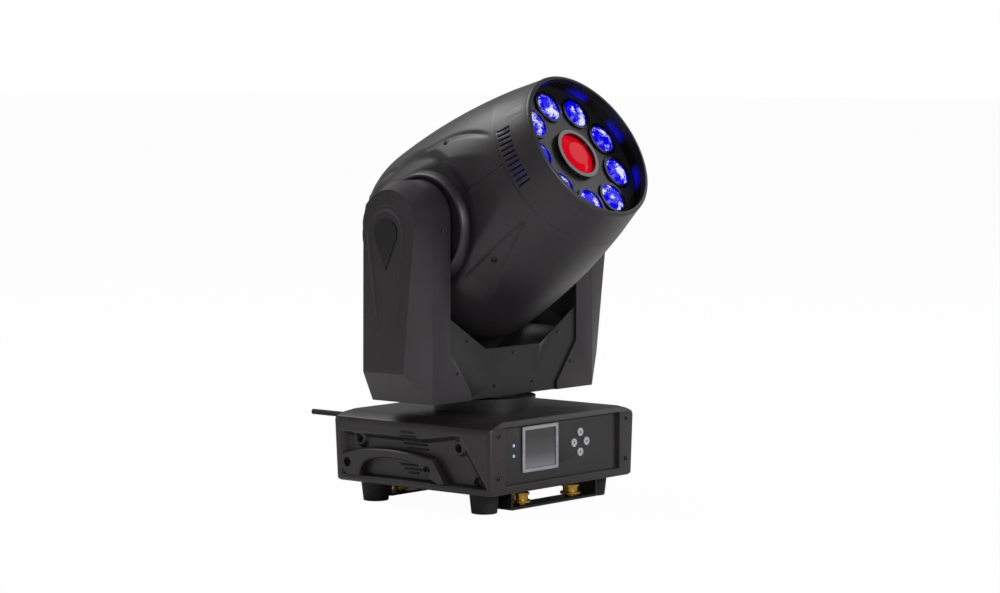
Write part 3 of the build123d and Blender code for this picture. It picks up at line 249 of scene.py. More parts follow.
@dataclass(frozen=True)
class Display(Finish):
    """A polycarbonate window over an unlit screen: black at the top, paler grey towards the bottom.

    Attributes:
        top_mm: Height of the window's upper edge.
        bottom_mm: Height of its lower edge.
        greys: Greys from the lower edge, at zero, to the upper one.
    """

    top_mm: float = 102.0
    bottom_mm: float = 54.0
    greys: tuple[tuple[float, str], ...] = ((0.0, "77777c"), (0.35, "3a3a3e"), (0.8, "0c0c0e"))

    def extra(self, tree: bpy.types.NodeTree, shader: bpy.types.Node, place: bpy.types.NodeSocket) -> None:
        """Adds the grey gradient.

        Args:
            tree: The material's tree.
            shader: Its shader.
            place: The object coordinates.
        """
        split = add(tree, "ShaderNodeSeparateXYZ", {"Vector": place})
        level = add(tree, "ShaderNodeMapRange", {"Value": split.outputs["Z"], "From Min": self.bottom_mm * MM,
                                                 "From Max": self.top_mm * MM})
        colour = add(tree, "ShaderNodeValToRGB", {"Fac": level.outputs[0]}, self.greys)
        tree.links.new(colour.outputs["Color"], shader.inputs["Base Color"])


@dataclass(frozen=True)
class LitLiner(Finish):
    """Polished black wall round the lenses: it holds a soft blue reflection beside each lens.

    Attributes:
        glow: Colour of the reflections.
        lobes: How many lenses stand round the wall.
        first: Angle of the first lens, in degrees.
        span: Place along the head's axis where the reflection starts and ends, in millimetres.
    """

    glow: str = "1206d6"
    lobes: int = 9
    first: float = 97.8
    span: tuple[float, float] = (173.0, 197.0)

    def extra(self, tree: bpy.types.NodeTree, shader: bpy.types.Node, place: bpy.types.NodeSocket) -> None:
        """Adds the reflections.

        Args:
            tree: The material's tree.
            shader: Its shader.
            place: The object coordinates.
        """
        local = add(tree, "ShaderNodeVectorMath", {0: place, 1: tuple(PIVOT)}, operation="SUBTRACT")
        parts = [add(tree, "ShaderNodeVectorMath", {0: local.outputs[0], 1: tuple(axis)}, operation="DOT_PRODUCT")
                 for axis in (Vector((1, 0, 0)), UP, FORWARD)]
        turn = add(tree, "ShaderNodeMath", {0: parts[1].outputs["Value"], 1: parts[0].outputs["Value"]},
                   operation="ARCTAN2")
        phase = add(tree, "ShaderNodeMath", {0: turn.outputs[0], 1: float(self.lobes),
                                             2: -math.radians(self.first) * self.lobes}, operation="MULTIPLY_ADD")
        wave = add(tree, "ShaderNodeMath", {0: phase.outputs[0]}, operation="COSINE")
        drift = add(tree, "ShaderNodeTexNoise", {"Vector": place, "Scale": 28.0, "Detail": 1.0})
        rise = add(tree, "ShaderNodeMapRange", {"Value": parts[2].outputs["Value"], "From Min": self.span[1] * MM,
                                                "From Max": self.span[0] * MM})
        level = add(tree, "ShaderNodeMath", {0: wave.outputs[0], 1: 0.5, 2: 0.1}, operation="MULTIPLY_ADD")
        uneven = add(tree, "ShaderNodeMath", {0: level.outputs[0], 1: drift.outputs["Fac"]}, operation="MULTIPLY")
        shaded = add(tree, "ShaderNodeMath", {0: uneven.outputs[0], 1: rise.outputs[0]}, operation="MULTIPLY")
        colour = add(tree, "ShaderNodeValToRGB", {"Fac": shaded.outputs[0]}, [(0.02, "000000"), (0.28, self.glow)])
        tree.links.new(colour.outputs["Color"], shader.inputs["Emission Color"])
        shader.inputs["Emission Strength"].default_value = 0.55


# Moulded ABS: dark, matt, faintly warm, with a fine even grain that catches a soft broad highlight.
SHELL_ABS = Finish("moulded_abs_charcoal", "1f1c1f", "272327", 0.42, ior=1.53, grain_mm=0.8, relief_mm=0.05)
# The same ABS from a smoother tool, for the base: slightly warmer, with the same soft sheen.
BASE_ABS = Finish("moulded_abs_base", "221f20", "2a2627", 0.42, ior=1.53, grain_mm=0.9, relief_mm=0.05)
# The panel's ABS: nearly black with a satin face.
PANEL_ABS = Finish("moulded_abs_panel", "17171a", "1c1c1f", 0.34, ior=1.53, grain_mm=0.7, relief_mm=0.02)
# Satin black ABS of the lens plate: picks up the light of the lenses.
PLATE_ABS = Finish("moulded_abs_plate", "131314", "18181a", 0.3, ior=1.53, grain_mm=0.8, relief_mm=0.02)
# Black ABS inside recesses and behind slots: swallows light. On the vent beads its black is painted shade of the
# slot openings.
INNER_ABS_AND_SLOT_SHADE = Finish("moulded_abs_black_and_slot_shade", "0d0d0e", "121213", 0.62, ior=1.53)
# Powder-coated steel sheet: neutral black with a faint orange peel.
COATED_STEEL = Finish("powder_coated_steel_black", "0f1010", "141515", 0.42, ior=1.52, grain_mm=1.6, relief_mm=0.04)
# Polished black ABS: deep gloss that mirrors the lights.
GLOSS_ABS = Finish("polished_abs_black", "08080a", "0c0c0e", 0.08, ior=1.54, relief_mm=0.004, spread=0.02, coat=0.6)
# Zinc-plated steel: bright, slightly blue, with fine turned marks.
ZINC_STEEL = Finish("zinc_plated_steel", "b9bcc0", "9fa3a8", 0.3, metallic=1.0, patch_mm=8, grain_mm=0.4)
# Blackened steel screws: dark with a metal edge.
BLACK_STEEL = Finish("blackened_steel", "3a3a3c", "2c2c2e", 0.36, metallic=1.0, patch_mm=6, grain_mm=0.4)
# Yellow chromated zinc: gold with greenish and pinkish clouds.
GOLD_ZINC = Finish("yellow_chromated_zinc", "c9993a", "d8b765", 0.32, metallic=1.0, patch_mm=9, grain_mm=0.5)
# Drawn aluminium: pale, brushed along its length.
ALUMINIUM = Finish("milled_aluminium", "b4b6b8", "a6a8aa", 0.34, metallic=1.0, grain_mm=0.3, stretch=12, spread=0.06)
# Painted steel laminations of a motor or a power supply: dull grey metal.
MOTOR_STEEL = Finish("motor_steel", "6c6e70", "5c5e60", 0.45, metallic=1.0, grain_mm=0.7)
# Solder-masked glass laminate: dark green with a satin sheen.
BOARD = Finish("solder_masked_laminate", "0f3a24", "14472d", 0.4, patch_mm=7, grain_mm=0.6)
# EPDM rubber: matt near-black, very slightly dusty.
RUBBER = Finish("epdm_rubber", "171717", "222222", 0.78, ior=1.51, patch_mm=12, grain_mm=0.7, relief_mm=0.06)
# Silver-painted ABS: fine flake, soft grey.
SILVER_PAINT = Finish("silver_painted_abs", "8f8f95", "a2a2a8", 0.36, ior=1.5, patch_mm=10, grain_mm=0.5, coat=0.3)
# Lens holder, silver-vacuumed plastic: bright thin ring. Its dark blue metal colour with bluer patches is a painted
# reflection of the lit lenses.
BRIGHT_RIM = Finish("metallised_abs_painted_blue_reflection", "24243a", "4a4c78", 0.2, metallic=1.0, patch_mm=6, grain_mm=0.5)
# Light silicone keys: matt grey, slightly translucent looking.
KEY_SILICONE = Finish("moulded_silicone_grey", "b3b3b6", "c2c2c5", 0.55, ior=1.43, patch_mm=5, grain_mm=0.5)
# Dichroic glass filters: dark mirror with a violet cast.
FILTER_GLASS = Finish("dichroic_glass", "3a2a66", "5b2f7a", 0.1, metallic=0.0, ior=1.52, coat=1.0)
# Indicator light pipes: small pale blue points.
INDICATOR = Finish("acrylic_light_pipe", "9fb8e6", "c4d4f5", 0.2, ior=1.49)
# Acrylic wash lens over a lit blue diode.
BLUE_LENS = LitLens("acrylic_lens_blue", "00002a", "00003a", 0.12, ior=1.49, relief_mm=0.01)
# Coated glass front lens over a lit red beam: even red, a little paler in patches, which are painted glints.
RED_LENS = LitLens("coated_glass_red", "2a0006", "38000a", 0.1, ior=1.52, relief_mm=0.004,
                   glow="d8001c", glint="e20526", strength=0.85, facet_mm=1.6, cover=0.2)
# Polished black ABS wall that mirrors the lit lenses.
LINER = LitLiner("polished_abs_liner", "0b0b10", "0e0e14", 0.24, ior=1.54, relief_mm=0.006)
# Polycarbonate display window.
WINDOW = Display("polycarbonate_window", "0c0c0e", "0c0c0e", 0.14, ior=1.585, relief_mm=0.004, coat=0.2)

NODE_FINISH: dict[Finish, tuple[str, ...]] = {
    SHELL_ABS: ("head_shell_upper", "head_shell_lower", "front_sleeve", "arm_cover_left", "arm_cover_right",
                "rear_cap"),
    BASE_ABS: ("base_shell", "side_handles", "front_panel"),
    INNER_ABS_AND_SLOT_SHADE: ("centre_barrel", "head_fan_frame", "head_fan_rotor", "lens_plate", "rear_sockets"),
    COATED_STEEL: ("base_plate", "omega_brackets", "yoke_frame", "crossbar_plate_front", "crossbar_plate_rear",
                   "rear_panel", "antenna_mount", "head_chassis", "pan_bridge", "pan_hub"),
    GLOSS_ABS: ("arm_badges",),
    ZINC_STEEL: ("base_screws", "pan_bearing", "tilt_bearings"),
    BLACK_STEEL: ("yoke_screws", "head_screws", "focus_carriage"),
    GOLD_ZINC: ("quarter_turn_1", "quarter_turn_2", "quarter_turn_3", "quarter_turn_4"),
    ALUMINIUM: ("heat_sink", "pan_pinion", "tilt_pinion", "tilt_pulley"),
    MOTOR_STEEL: ("pan_motor", "tilt_motor", "power_supply"),
    BOARD: ("control_board", "led_boards"),
    RUBBER: ("rubber_feet", "pan_belt", "tilt_belt", "antenna_mast"),
    SILVER_PAINT: ("display_bezel",),
    BRIGHT_RIM: ("lens_rims",),
    KEY_SILICONE: ("button_up", "button_down", "button_left", "button_right"),
    FILTER_GLASS: ("colour_wheel", "gobo_wheel"),
    INDICATOR: ("indicator_leds",),
    BLUE_LENS: ("wash_lenses",),
    RED_LENS: ("centre_lens",),
    WINDOW: ("display_glass",),
}


def dress(thing: bpy.types.Object, finish: Finish) -> None:
    """Gives an object one finish.

    Args:
        thing: The object.
        finish: Its finish.
    """
    if not thing.data.materials:
        thing.data.materials.append(None)
    for index in range(len(thing.data.materials)):
        thing.data.materials[index] = finish.build()


def dress_frame() -> None:
    """Gives every carried-over node its finish."""
    for finish, nodes in NODE_FINISH.items():
        for node in nodes:
            dress(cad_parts[node], finish)


@dataclass
class Studio:
    """Pale floor, soft lights and the camera.

    Attributes:
        azimuth: Camera's turn about the vertical, in degrees.
        elevation: Camera's height above the horizon, in degrees.
        distance: From the camera to its target.
        target: The point that the camera looks at.
        lens: Focal length for a 36 mm sensor.
        shift: Sensor shift that frames the object as wanted.
        soft: Strength of the light from all round.
        floor_half: Half of the floor's side.
        floor_white: Share of plain white in what the eye sees of the floor.
        aim: The point that the lamps face.
        lamps: Name, place, power and side of each lamp.
    """

    azimuth: float = -49.95
    elevation: float = 4.36
    distance: float = 3.8696
    target: tuple[float, float, float] = (0.0026, 0.0, 0.2583)
    lens: float = 109.24
    shift: tuple[float, float] = (0.0139, -0.0008)
    soft: float = 0.3
    floor_half: float = 40.0
    floor_white: float = 0.975
    aim: tuple[float, float, float] = (0.0, 0.0, 0.28)
    lamps: Sequence[tuple[str, tuple[float, float, float], float, float]] = (
        ("key_light", (-0.5, -3.1, 1.5), 50.0, 1.1),
        ("top_light", (-0.3, 1.7, 2.8), 62.0, 1.8),
        ("side_light", (2.6, -1.0, 1.4), 10.0, 1.6))

    def camera(self) -> None:
        """Makes the camera and sets it as the scene's."""
        turn, rise = math.radians(self.azimuth), math.radians(self.elevation)
        back = Vector((math.sin(turn) * math.cos(rise), -math.cos(turn) * math.cos(rise), math.sin(rise)))
        data = bpy.data.cameras.new("camera")
        data.lens, data.sensor_width = self.lens, 36.0
        data.shift_x, data.shift_y = self.shift
        eye = bpy.data.objects.new("camera", data)
        eye.location = Vector(self.target) + back * self.distance
        eye.rotation_mode = "QUATERNION"
        eye.rotation_quaternion = (-back).to_track_quat("-Z", "Y")
        bpy.context.scene.collection.objects.link(eye)
        bpy.context.scene.camera = eye

    def seen_by_eye(self, tree: bpy.types.NodeTree) -> bpy.types.NodeSocket:
        """Adds a switch that is one for camera and glass rays, which see the white background.

        Args:
            tree: The tree that gets it.

        Returns:
            The switch's output.
        """
        path = add(tree, "ShaderNodeLightPath")
        either = add(tree, "ShaderNodeMath",
                     {0: path.outputs["Is Camera Ray"], 1: path.outputs["Is Transmission Ray"]},
                     operation="MAXIMUM")
        return either.outputs[0]

    def world(self) -> None:
        """Makes a white background that lights the object softly."""
        world = bpy.data.worlds.new("studio")
        bpy.context.scene.world = world
        world.use_nodes = True
        tree = world.node_tree
        tree.nodes.clear()
        white = add(tree, "ShaderNodeBackground", {"Color": linear("ffffff"), "Strength": 1.0})
        dim = add(tree, "ShaderNodeBackground", {"Color": linear("f6f3f4"), "Strength": self.soft})
        mix = add(tree, "ShaderNodeMixShader", {0: self.seen_by_eye(tree), 1: dim.outputs[0], 2: white.outputs[0]})
        add(tree, "ShaderNodeOutputWorld", {"Surface": mix.outputs[0]})

    def floor(self) -> None:
        """Makes the pale floor, which keeps the object's shadow."""
        mesh = bpy.data.meshes.new("floor")
        size = self.floor_half
        corners = [(-size, -size, 0), (size, -size, 0), (size, size, 0), (-size, size, 0)]
        mesh.from_pydata(corners, [], [(0, 1, 2, 3)])
        floor = show("floor", mesh)
        # Matt white vinyl: white to the eye, with only a faint shadow under the object.
        material = bpy.data.materials.new("matt_white_vinyl")
        material.use_nodes = True
        tree = material.node_tree
        tree.nodes.clear()
        dull = add(tree, "ShaderNodeBsdfDiffuse", {"Color": linear("e9e8e8")})
        white = add(tree, "ShaderNodeEmission", {"Color": linear("ffffff"), "Strength": 1.0})
        share = add(tree, "ShaderNodeMath", {0: self.seen_by_eye(tree), 1: self.floor_white}, operation="MULTIPLY")
        mix = add(tree, "ShaderNodeMixShader", {0: share.outputs[0], 1: dull.outputs[0], 2: white.outputs[0]})
        add(tree, "ShaderNodeOutputMaterial", {"Surface": mix.outputs[0]})
        mesh.materials.append(material)

    def lamp(self, name: str, place: tuple[float, float, float], watts: float, size: float) -> None:
        """Adds a square soft light that points at the object.

        Args:
            name: Its name.
            place: Where it stands.
            watts: Its power.
            size: Length of its side.
        """
        data = bpy.data.lights.new(name, "AREA")
        data.energy, data.size = watts, size
        lamp = bpy.data.objects.new(name, data)
        lamp.location = place
        lamp.rotation_mode = "QUATERNION"
        lamp.rotation_quaternion = (Vector(self.aim) - Vector(place)).to_track_quat("-Z", "Y")
        bpy.context.scene.collection.objects.link(lamp)

    def make(self) -> None:
        """Makes the whole studio."""
        self.camera()
        self.world()
        self.floor()
        for name, place, watts, size in self.lamps:
            self.lamp(name, place, watts, size)
        bpy.context.scene.view_settings.view_transform = "Standard"


def show(name: str, mesh: bpy.types.Mesh) -> bpy.types.Object:
    """Puts a mesh in the scene as an object.

    Args:
        name: The object's name.
        mesh: Its mesh.

    Returns:
        The object.
    """
    piece = bpy.data.objects.new(name, mesh)
    bpy.context.scene.collection.objects.link(piece)
    return piece


def flatten(piece: bpy.types.Object) -> None:
    """Turns what is live on a piece into a plain mesh.

    Args:
        piece: The piece.
    """
    graph = bpy.context.evaluated_depsgraph_get()
    graph.update()
    done = bpy.data.meshes.new_from_object(piece.evaluated_get(graph), depsgraph=graph)
    piece.modifiers.clear()
    piece.data = done


@dataclass
class Moulding:
    """A made piece that keeps a node's exact shape, with its edges rounded as a mould or a press leaves them.

    Attributes:
        node: The node whose shape it has and which it stands for.
        body: What it moves with.
        finish: Its finish.
        radius: Radius of its edges, in millimetres.
        sharp: Edges that turn more than this many degrees are rounded.
    """

    node: str
    body: Body
    finish: Finish
    radius: float = 0.7
    sharp: float = 28.0

    def make(self) -> bpy.types.Object:
        """Builds the piece.

        Returns:
            The finished piece.
        """
        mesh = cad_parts[self.node].data.copy()
        sheet = bmesh.new()
        sheet.from_mesh(mesh)
        bmesh.ops.remove_doubles(sheet, verts=sheet.verts, dist=0.004 * MM)
        bmesh.ops.dissolve_limit(sheet, angle_limit=math.radians(0.4), verts=sheet.verts, edges=sheet.edges)
        for edge in sheet.edges:
            edge.smooth = len(edge.link_faces) == 2 and edge.calc_face_angle(0.0) < math.radians(self.sharp)
        for face in sheet.faces:
            face.smooth = True
        sheet.to_mesh(mesh)
        sheet.free()
        piece = show(self.node + "_rounded", mesh)
        round_edges(piece, self.radius, self.sharp)
        settle(piece, self.finish, self.body, self.node)
        return piece


def round_edges(piece: bpy.types.Object, radius: float, sharp: float = 28.0, segments: int = 2) -> None:
    """Gives a piece a live bevel.

    Args:
        piece: The piece.
        radius: Bevel width in millimetres.
        sharp: Smallest turn of an edge that is rounded, in degrees.
        segments: Steps across the rounding.
    """
    bevel = piece.modifiers.new("edge", "BEVEL")
    bevel.width, bevel.segments = radius * MM, segments
    bevel.limit_method, bevel.angle_limit = "ANGLE", math.radians(sharp)
    bevel.harden_normals = True
    bevel.miter_outer = "MITER_ARC"


def settle(piece: bpy.types.Object, finish: Finish, body: Body | str, *nodes: str) -> None:
    """Applies what is live on a piece, dresses it and ties it to its body.

    Args:
        piece: The piece.
        finish: Its finish.
        body: What it moves with.
        *nodes: The nodes it stands for.
    """
    if piece.modifiers:
        flatten(piece)
    piece.data.materials.clear()
    piece.data.materials.append(finish.build())
    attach(piece, body.value if isinstance(body, Body) else body)
    if nodes:
        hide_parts(*nodes)
    LOG.info("%s: %d faces", piece.name, len(piece.data.polygons))


def solid(name: str, points: Sequence[Sequence[float]], faces: Sequence[Sequence[int]],
          smooth: float = 35.0) -> bpy.types.Object:
    """Makes an object from points in metres, with its faces turned outwards.

    Args:
        name: Its name.
        points: The points.
        faces: Corner numbers of each face.
        smooth: Edges that turn more than this many degrees stay sharp.

    Returns:
        The object.
    """
    mesh = bpy.data.meshes.new(name)
    mesh.from_pydata([tuple(p) for p in points], [], faces)
    sheet = bmesh.new()
    sheet.from_mesh(mesh)
    bmesh.ops.remove_doubles(sheet, verts=sheet.verts, dist=0.002 * MM)
    bmesh.ops.recalc_face_normals(sheet, faces=sheet.faces)
    for face in sheet.faces:
        face.smooth = True
    for edge in sheet.edges:
        edge.smooth = len(edge.link_faces) == 2 and edge.calc_face_angle(0.0) < math.radians(smooth)
    sheet.to_mesh(mesh)
    sheet.free()
    return show(name, mesh)


def turned(name: str, profile: Sequence[tuple[float, float]], place: Vector, axis: Vector, steps: int = 96,
           smooth: float = 35.0) -> bpy.types.Object:
    """Turns a closed profile about an axis.

    Args:
        name: Its name.
        profile: Radius and height of each point in millimetres, as a closed ring.
        place: Where height zero is on the axis, in metres.
        axis: Direction of the axis.
        steps: Steps round it.
        smooth: Edges that turn more than this many degrees stay sharp.

    Returns:
        The object.
    """
    lift = axis.normalized()
    side = lift.orthogonal().normalized()
    across = lift.cross(side)
    points, faces, count = [], [], len(profile)
    for step in range(steps):
        turn = 2 * math.pi * step / steps
        ray = side * math.cos(turn) + across * math.sin(turn)
        points += [place + (ray * radius + lift * height) * MM for radius, height in profile]
        after = (step + 1) % steps
        faces += [(step * count + i, step * count + (i + 1) % count, after * count + (i + 1) % count,
                   after * count + i) for i in range(count)]
    return solid(name, points, faces, smooth)


def grid_faces(rows: int, columns: int, closed: bool = False) -> list[tuple[int, int, int, int]]:
    """Lists the faces of a grid of points stored row by row.

    Args:
        rows: Number of rows.
        columns: Points in a row.
        closed: Whether each row joins its own start.

    Returns:
        The faces.
    """
    last = columns if closed else columns - 1
    return [(r * columns + c, r * columns + (c + 1) % columns, (r + 1) * columns + (c + 1) % columns,
             (r + 1) * columns + c) for r in range(rows - 1) for c in range(last)]


def thin_shell(name: str, points: Sequence[Vector], rows: int, columns: int, smooth: float) -> bpy.types.Object:
    """Closes two grids of points, the outer skin and then the inner one, into a thin wall.

    Args:
        name: Its name.
        points: The points of both skins, row by row.
        rows: Rows of a skin.
        columns: Points in a row.
        smooth: Edges that turn more than this many degrees stay sharp.

    Returns:
        The object.
    """
    outer = grid_faces(rows, columns)
    count = rows * columns
    faces = outer + [tuple(reversed([i + count for i in face])) for face in outer]
    border = list(range(columns)) + [r * columns + columns - 1 for r in range(1, rows)]
    border += [(rows - 1) * columns + c for c in range(columns - 2, -1, -1)]
    border += [r * columns for r in range(rows - 2, 0, -1)]
    faces += [(border[i], border[i - 1], border[i - 1] + count, border[i] + count) for i in range(len(border))]
    return solid(name, points, faces, smooth)


def fade(value: float, low: float, high: float) -> float:
    """Rises smoothly from zero to one.

    Args:
        value: Where it is read.
        low: Where it leaves zero.
        high: Where it reaches one.

    Returns:
        The share.
    """
    share = min(1.0, max(0.0, (value - low) / (high - low)))
    return share * share * (3 - 2 * share)


@dataclass
class HeadSkin:
    """The two moulded halves of the head with their dished sides, creases and long tapered recesses.

    Attributes:
        widest: Radius where the body is widest, in millimetres.
        widest_at: Place of that along the head's axis.
        front: End of the shells towards the lenses, as place and radius.
        rear: Tail of the rear cap, as place and radius.
        shell_rear: Where the shells meet the rear cap.
        flat: Half width across the flattened sides.
        seam: Height of the joint between the halves.
        wall: Wall thickness.
        dish_depth: Depth of the dished ring round each pivot.
        dish_middle: Middle of the ring, along the axis and across it.
        dish_rim: Mean radius of the ring's rim, and how much more it is at the top.
        crease_depth: Depth of the crease above each ring.
        taper_depth: Depth of the long recess below it.
        step: Distance between points.
    """

    widest: float = 134.5
    widest_at: float = -40.0
    front: tuple[float, float] = (148.0, 112.5)
    rear: tuple[float, float] = (-146.0, 55.0)
    shell_rear: float = -88.0
    flat: float = 115.0
    seam: float = 5.0
    wall: float = 2.4
    dish_depth: float = 4.5
    dish_middle: tuple[float, float] = (-6.0, 8.0)
    dish_rim: tuple[float, float] = (92.5, 3.5)
    crease_depth: float = 1.9
    taper_depth: float = 2.6
    step: float = 2.2

    def radius(self, along: float) -> float:
        """Radius of the round body.

        Args:
            along: Place along the head's axis.

        Returns:
            The radius in millimetres.
        """
        end = self.front if along > self.widest_at else self.rear
        run, drop = abs(end[0] - self.widest_at), self.widest - end[1]
        bow = (run * run + drop * drop) / (2 * drop)
        return self.widest - bow + math.sqrt(bow * bow - (along - self.widest_at) ** 2)

    def relief(self, along: float, height: float) -> float:
        """Depth below the plain round body of the moulded side details.

        Args:
            along: Place along the head's axis.
            height: Place across it.

        Returns:
            The depth in millimetres.
        """
        across, up = along - self.dish_middle[0], height - self.dish_middle[1]
        reach = math.hypot(across, up)
        rim = self.dish_rim[0] + self.dish_rim[1] * math.sin(math.atan2(up, across))
        dish = self.dish_depth * (1 - fade(reach, rim - 13, rim + 1))
        crease_line = 98 - 0.12 * max(0.0, along + 33) - 0.0042 * max(0.0, along - 60) ** 2
        crease = self.crease_depth * math.exp(-((height - crease_line) / 3.2) ** 2)
        crease = crease * fade(along, -70, -30) * (1 - fade(along, 118, 146))
        middle = -63 - 0.28 * (137 - along)
        half = max(0.5, 0.135 * (139 - along))
        tapered = self.taper_depth * (1 - fade(abs(height - middle), half - 2.5, half + 1.5))
        tapered *= (1 - fade(along, 130, 139)) * fade(along, -6, 30)
        return max(dish, crease, tapered)

    def skin(self, along: float, turn: float, inset: float) -> Vector:
        """A point of the skin.

        Args:
            along: Place along the head's axis.
            turn: Angle round it, from +X towards up.
            inset: Depth below the outer surface.

        Returns:
            The point in the row frame, in metres.
        """
        size = self.radius(along)
        x, height = size * math.cos(turn), size * math.sin(turn)
        depth = inset + self.relief(along, height) * fade(abs(x), 60, 92)
        soft = self.flat - 2.0
        if abs(x) > soft:
            over = abs(x) - soft
            x = math.copysign(soft + 2.0 * (1 - math.exp(-over / 2.0)), x)
        inward = fade(abs(x), self.flat - 14, self.flat - 1)
        x -= math.copysign(depth * max(inward, abs(math.cos(turn))), x)
        height -= depth * (1 - inward) * math.sin(turn)
        return PIVOT + (Vector((1, 0, 0)) * x + UP * height + FORWARD * along) * MM

    def half(self, name: str, upper: bool) -> bpy.types.Object:
        """Builds one half as a closed shell.

        Args:
            name: Its name.
            upper: Whether it is the upper half.

        Returns:
            The object.
        """
        gap = 0.35
        span = self.front[0] - 0.3 - (self.shell_rear + 0.3)
        rows = int(span / self.step) + 1
        columns = int(math.pi * self.widest / self.step)
        points: list[Vector] = []
        for inset in (0.0, self.wall):
            for row in range(rows):
                along = self.shell_rear + 0.3 + span * row / (rows - 1)
                size = self.radius(along)
                low = math.asin((self.seam + (gap if upper else -gap)) / size)
                start, end = (low, math.pi - low) if upper else (math.pi - low, 2 * math.pi + low)
                edge = 0.6 if row in (0, rows - 1) and inset == 0.0 else 0.0
                points += [self.skin(along, start + (end - start) * c / (columns - 1),
                                     inset + max(edge, 0.5 if inset == 0.0 and c in (0, columns - 1) else 0.0))
                           for c in range(columns)]
        return thin_shell(name, points, rows, columns, 50.0)

    def collar(self, side: Side) -> bpy.types.Object:
        """Builds the raised ring round one pivot.

        Args:
            side: Which side.

        Returns:
            The object.
        """
        profile = [(40.0, 100.0), (72.5, 100.0), (71.0, 111.0), (69.2, 116.5), (68.0, 121.6), (66.6, 123.6),
                   (64.4, 124.2), (62.6, 123.4), (61.8, 121.6), (61.2, 119.5), (40.0, 119.5)]
        return turned("pivot_collar_" + side.name.lower(), profile, PIVOT, Vector((side, 0, 0)), 144, 50.0)

    def fins(self) -> bpy.types.Object:
        """Makes the row of cooling ribs round the rear cap with a node tree."""
        return ring_of_blocks("rear_cap_ribs", 40, self.path_of_rib(), 3.4)

    def path_of_rib(self) -> list[tuple[float, float]]:
        """Places along and radius of a rib's crest."""
        return [(a, self.radius(a)) for a in (-84.0, -95.0, -106.0, -117.0, -126.0, -134.0, -140.0)]

    def make(self) -> None:
        """Builds, dresses and ties every piece of the skin."""
        settle(self.half("head_skin_upper", True), SHELL_ABS, Body.HEAD, "head_shell_upper")
        settle(self.half("head_skin_lower", False), SHELL_ABS, Body.HEAD, "head_shell_lower")
        for side in Side:
            settle(self.collar(side), SHELL_ABS, Body.HEAD)
        settle(self.fins(), SHELL_ABS, Body.HEAD)


def new_tree(name: str, **sizes: str) -> tuple[bpy.types.NodeTree, bpy.types.Node]:
    """Starts a geometry tree with named inputs.

    Args:
        name: Its name.
        **sizes: Kind of each input by name, besides the geometry and the finish.

    Returns:
        The tree and its input node.
    """
    tree = bpy.data.node_groups.new(name, "GeometryNodeTree")
    for label, kind in {"Geometry": "Geometry", **sizes, "Finish": "Material"}.items():
        tree.interface.new_socket(label, in_out="INPUT", socket_type="NodeSocket" + kind)
    tree.interface.new_socket("Geometry", in_out="OUTPUT", socket_type="NodeSocketGeometry")
    return tree, add(tree, "NodeGroupInput")


def close_tree(tree: bpy.types.NodeTree, given: bpy.types.Node, shape: bpy.types.Node) -> None:
    """Ends a geometry tree: makes its copies real and gives them the finish.

    Args:
        tree: The tree.
        given: Its input node.
        shape: The node whose shape it gives out.
    """
    real = add(tree, "GeometryNodeRealizeInstances", {0: shape.outputs[0]})
    dressed = add(tree, "GeometryNodeSetMaterial",
                  {"Geometry": real.outputs[0], "Material": given.outputs["Finish"]})
    add(tree, "NodeGroupOutput", {"Geometry": dressed.outputs[0]})


def ring_of_blocks(name: str, count: int, crest: Sequence[tuple[float, float]], thick: float) -> bpy.types.Object:
    """Sets ribs round the head's axis with a node tree, one rib turned and copied.

    Args:
        name: Its name.
        count: How many ribs.
        crest: Place along the axis and radius of each point of a rib's crest, in millimetres.
        thick: Thickness of a rib.

    Returns:
        A plain mesh of all the ribs.
    """
    points, sink, proud = [], 4.0, 3.2
    for along, size in crest:
        end = fade(min(along - crest[-1][0], crest[0][0] - along), -1.0, 10.0)
        top = size - 1.2 + proud * end
        side = [(-thick / 2, size - sink), (-thick / 2, top - 0.7), (-thick / 2 + 0.8, top)]
        points += [(x, y, along) for x, y in side] + [(-x, y, along) for x, y in reversed(side)]
    faces: list[tuple[int, ...]] = list(grid_faces(len(crest), 6, closed=True))
    faces += [tuple(range(6)), tuple(reversed(range(6 * (len(crest) - 1), 6 * len(crest))))]
    rib = solid(name, [Vector(p) * MM for p in points], faces)
    tree, given = new_tree(name + "_nodes", Count="Int")
    line = add(tree, "GeometryNodeMeshLine", {"Count": given.outputs["Count"], "Offset": (0.0, 0.0, 0.0)})
    index = add(tree, "GeometryNodeInputIndex")
    share = add(tree, "ShaderNodeMath", {0: index.outputs[0], 1: given.outputs["Count"]}, operation="DIVIDE")
    turn = add(tree, "ShaderNodeMath", {0: share.outputs[0], 1: 2 * math.pi}, operation="MULTIPLY")
    spin = add(tree, "ShaderNodeCombineXYZ", {"Z": turn.outputs[0]})
    copies = add(tree, "GeometryNodeInstanceOnPoints",
                 {"Points": line.outputs[0], "Instance": given.outputs["Geometry"], "Rotation": spin.outputs[0]})
    close_tree(tree, given, copies)
    piece = run_tree(rib, tree, {"Count": count, "Finish": SHELL_ABS.build()})
    piece.data.transform(Matrix.Translation(PIVOT) @ HEAD_TURN.to_4x4())
    return piece


def run_tree(piece: bpy.types.Object, tree: bpy.types.NodeTree, values: dict[str, object]) -> bpy.types.Object:
    """Runs a node tree on a piece and keeps only the plain mesh.

    Args:
        piece: What the tree starts from.
        tree: The tree.
        values: Input values by their names.

    Returns:
        The same object with its new mesh.
    """
    modifier = piece.modifiers.new("nodes", "NODES")
    modifier.node_group = tree
    for item in tree.interface.items_tree:
        if item.item_type == "SOCKET" and item.in_out == "INPUT" and item.name in values:
            modifier[item.identifier] = values[item.name]
    flatten(piece)
    return piece


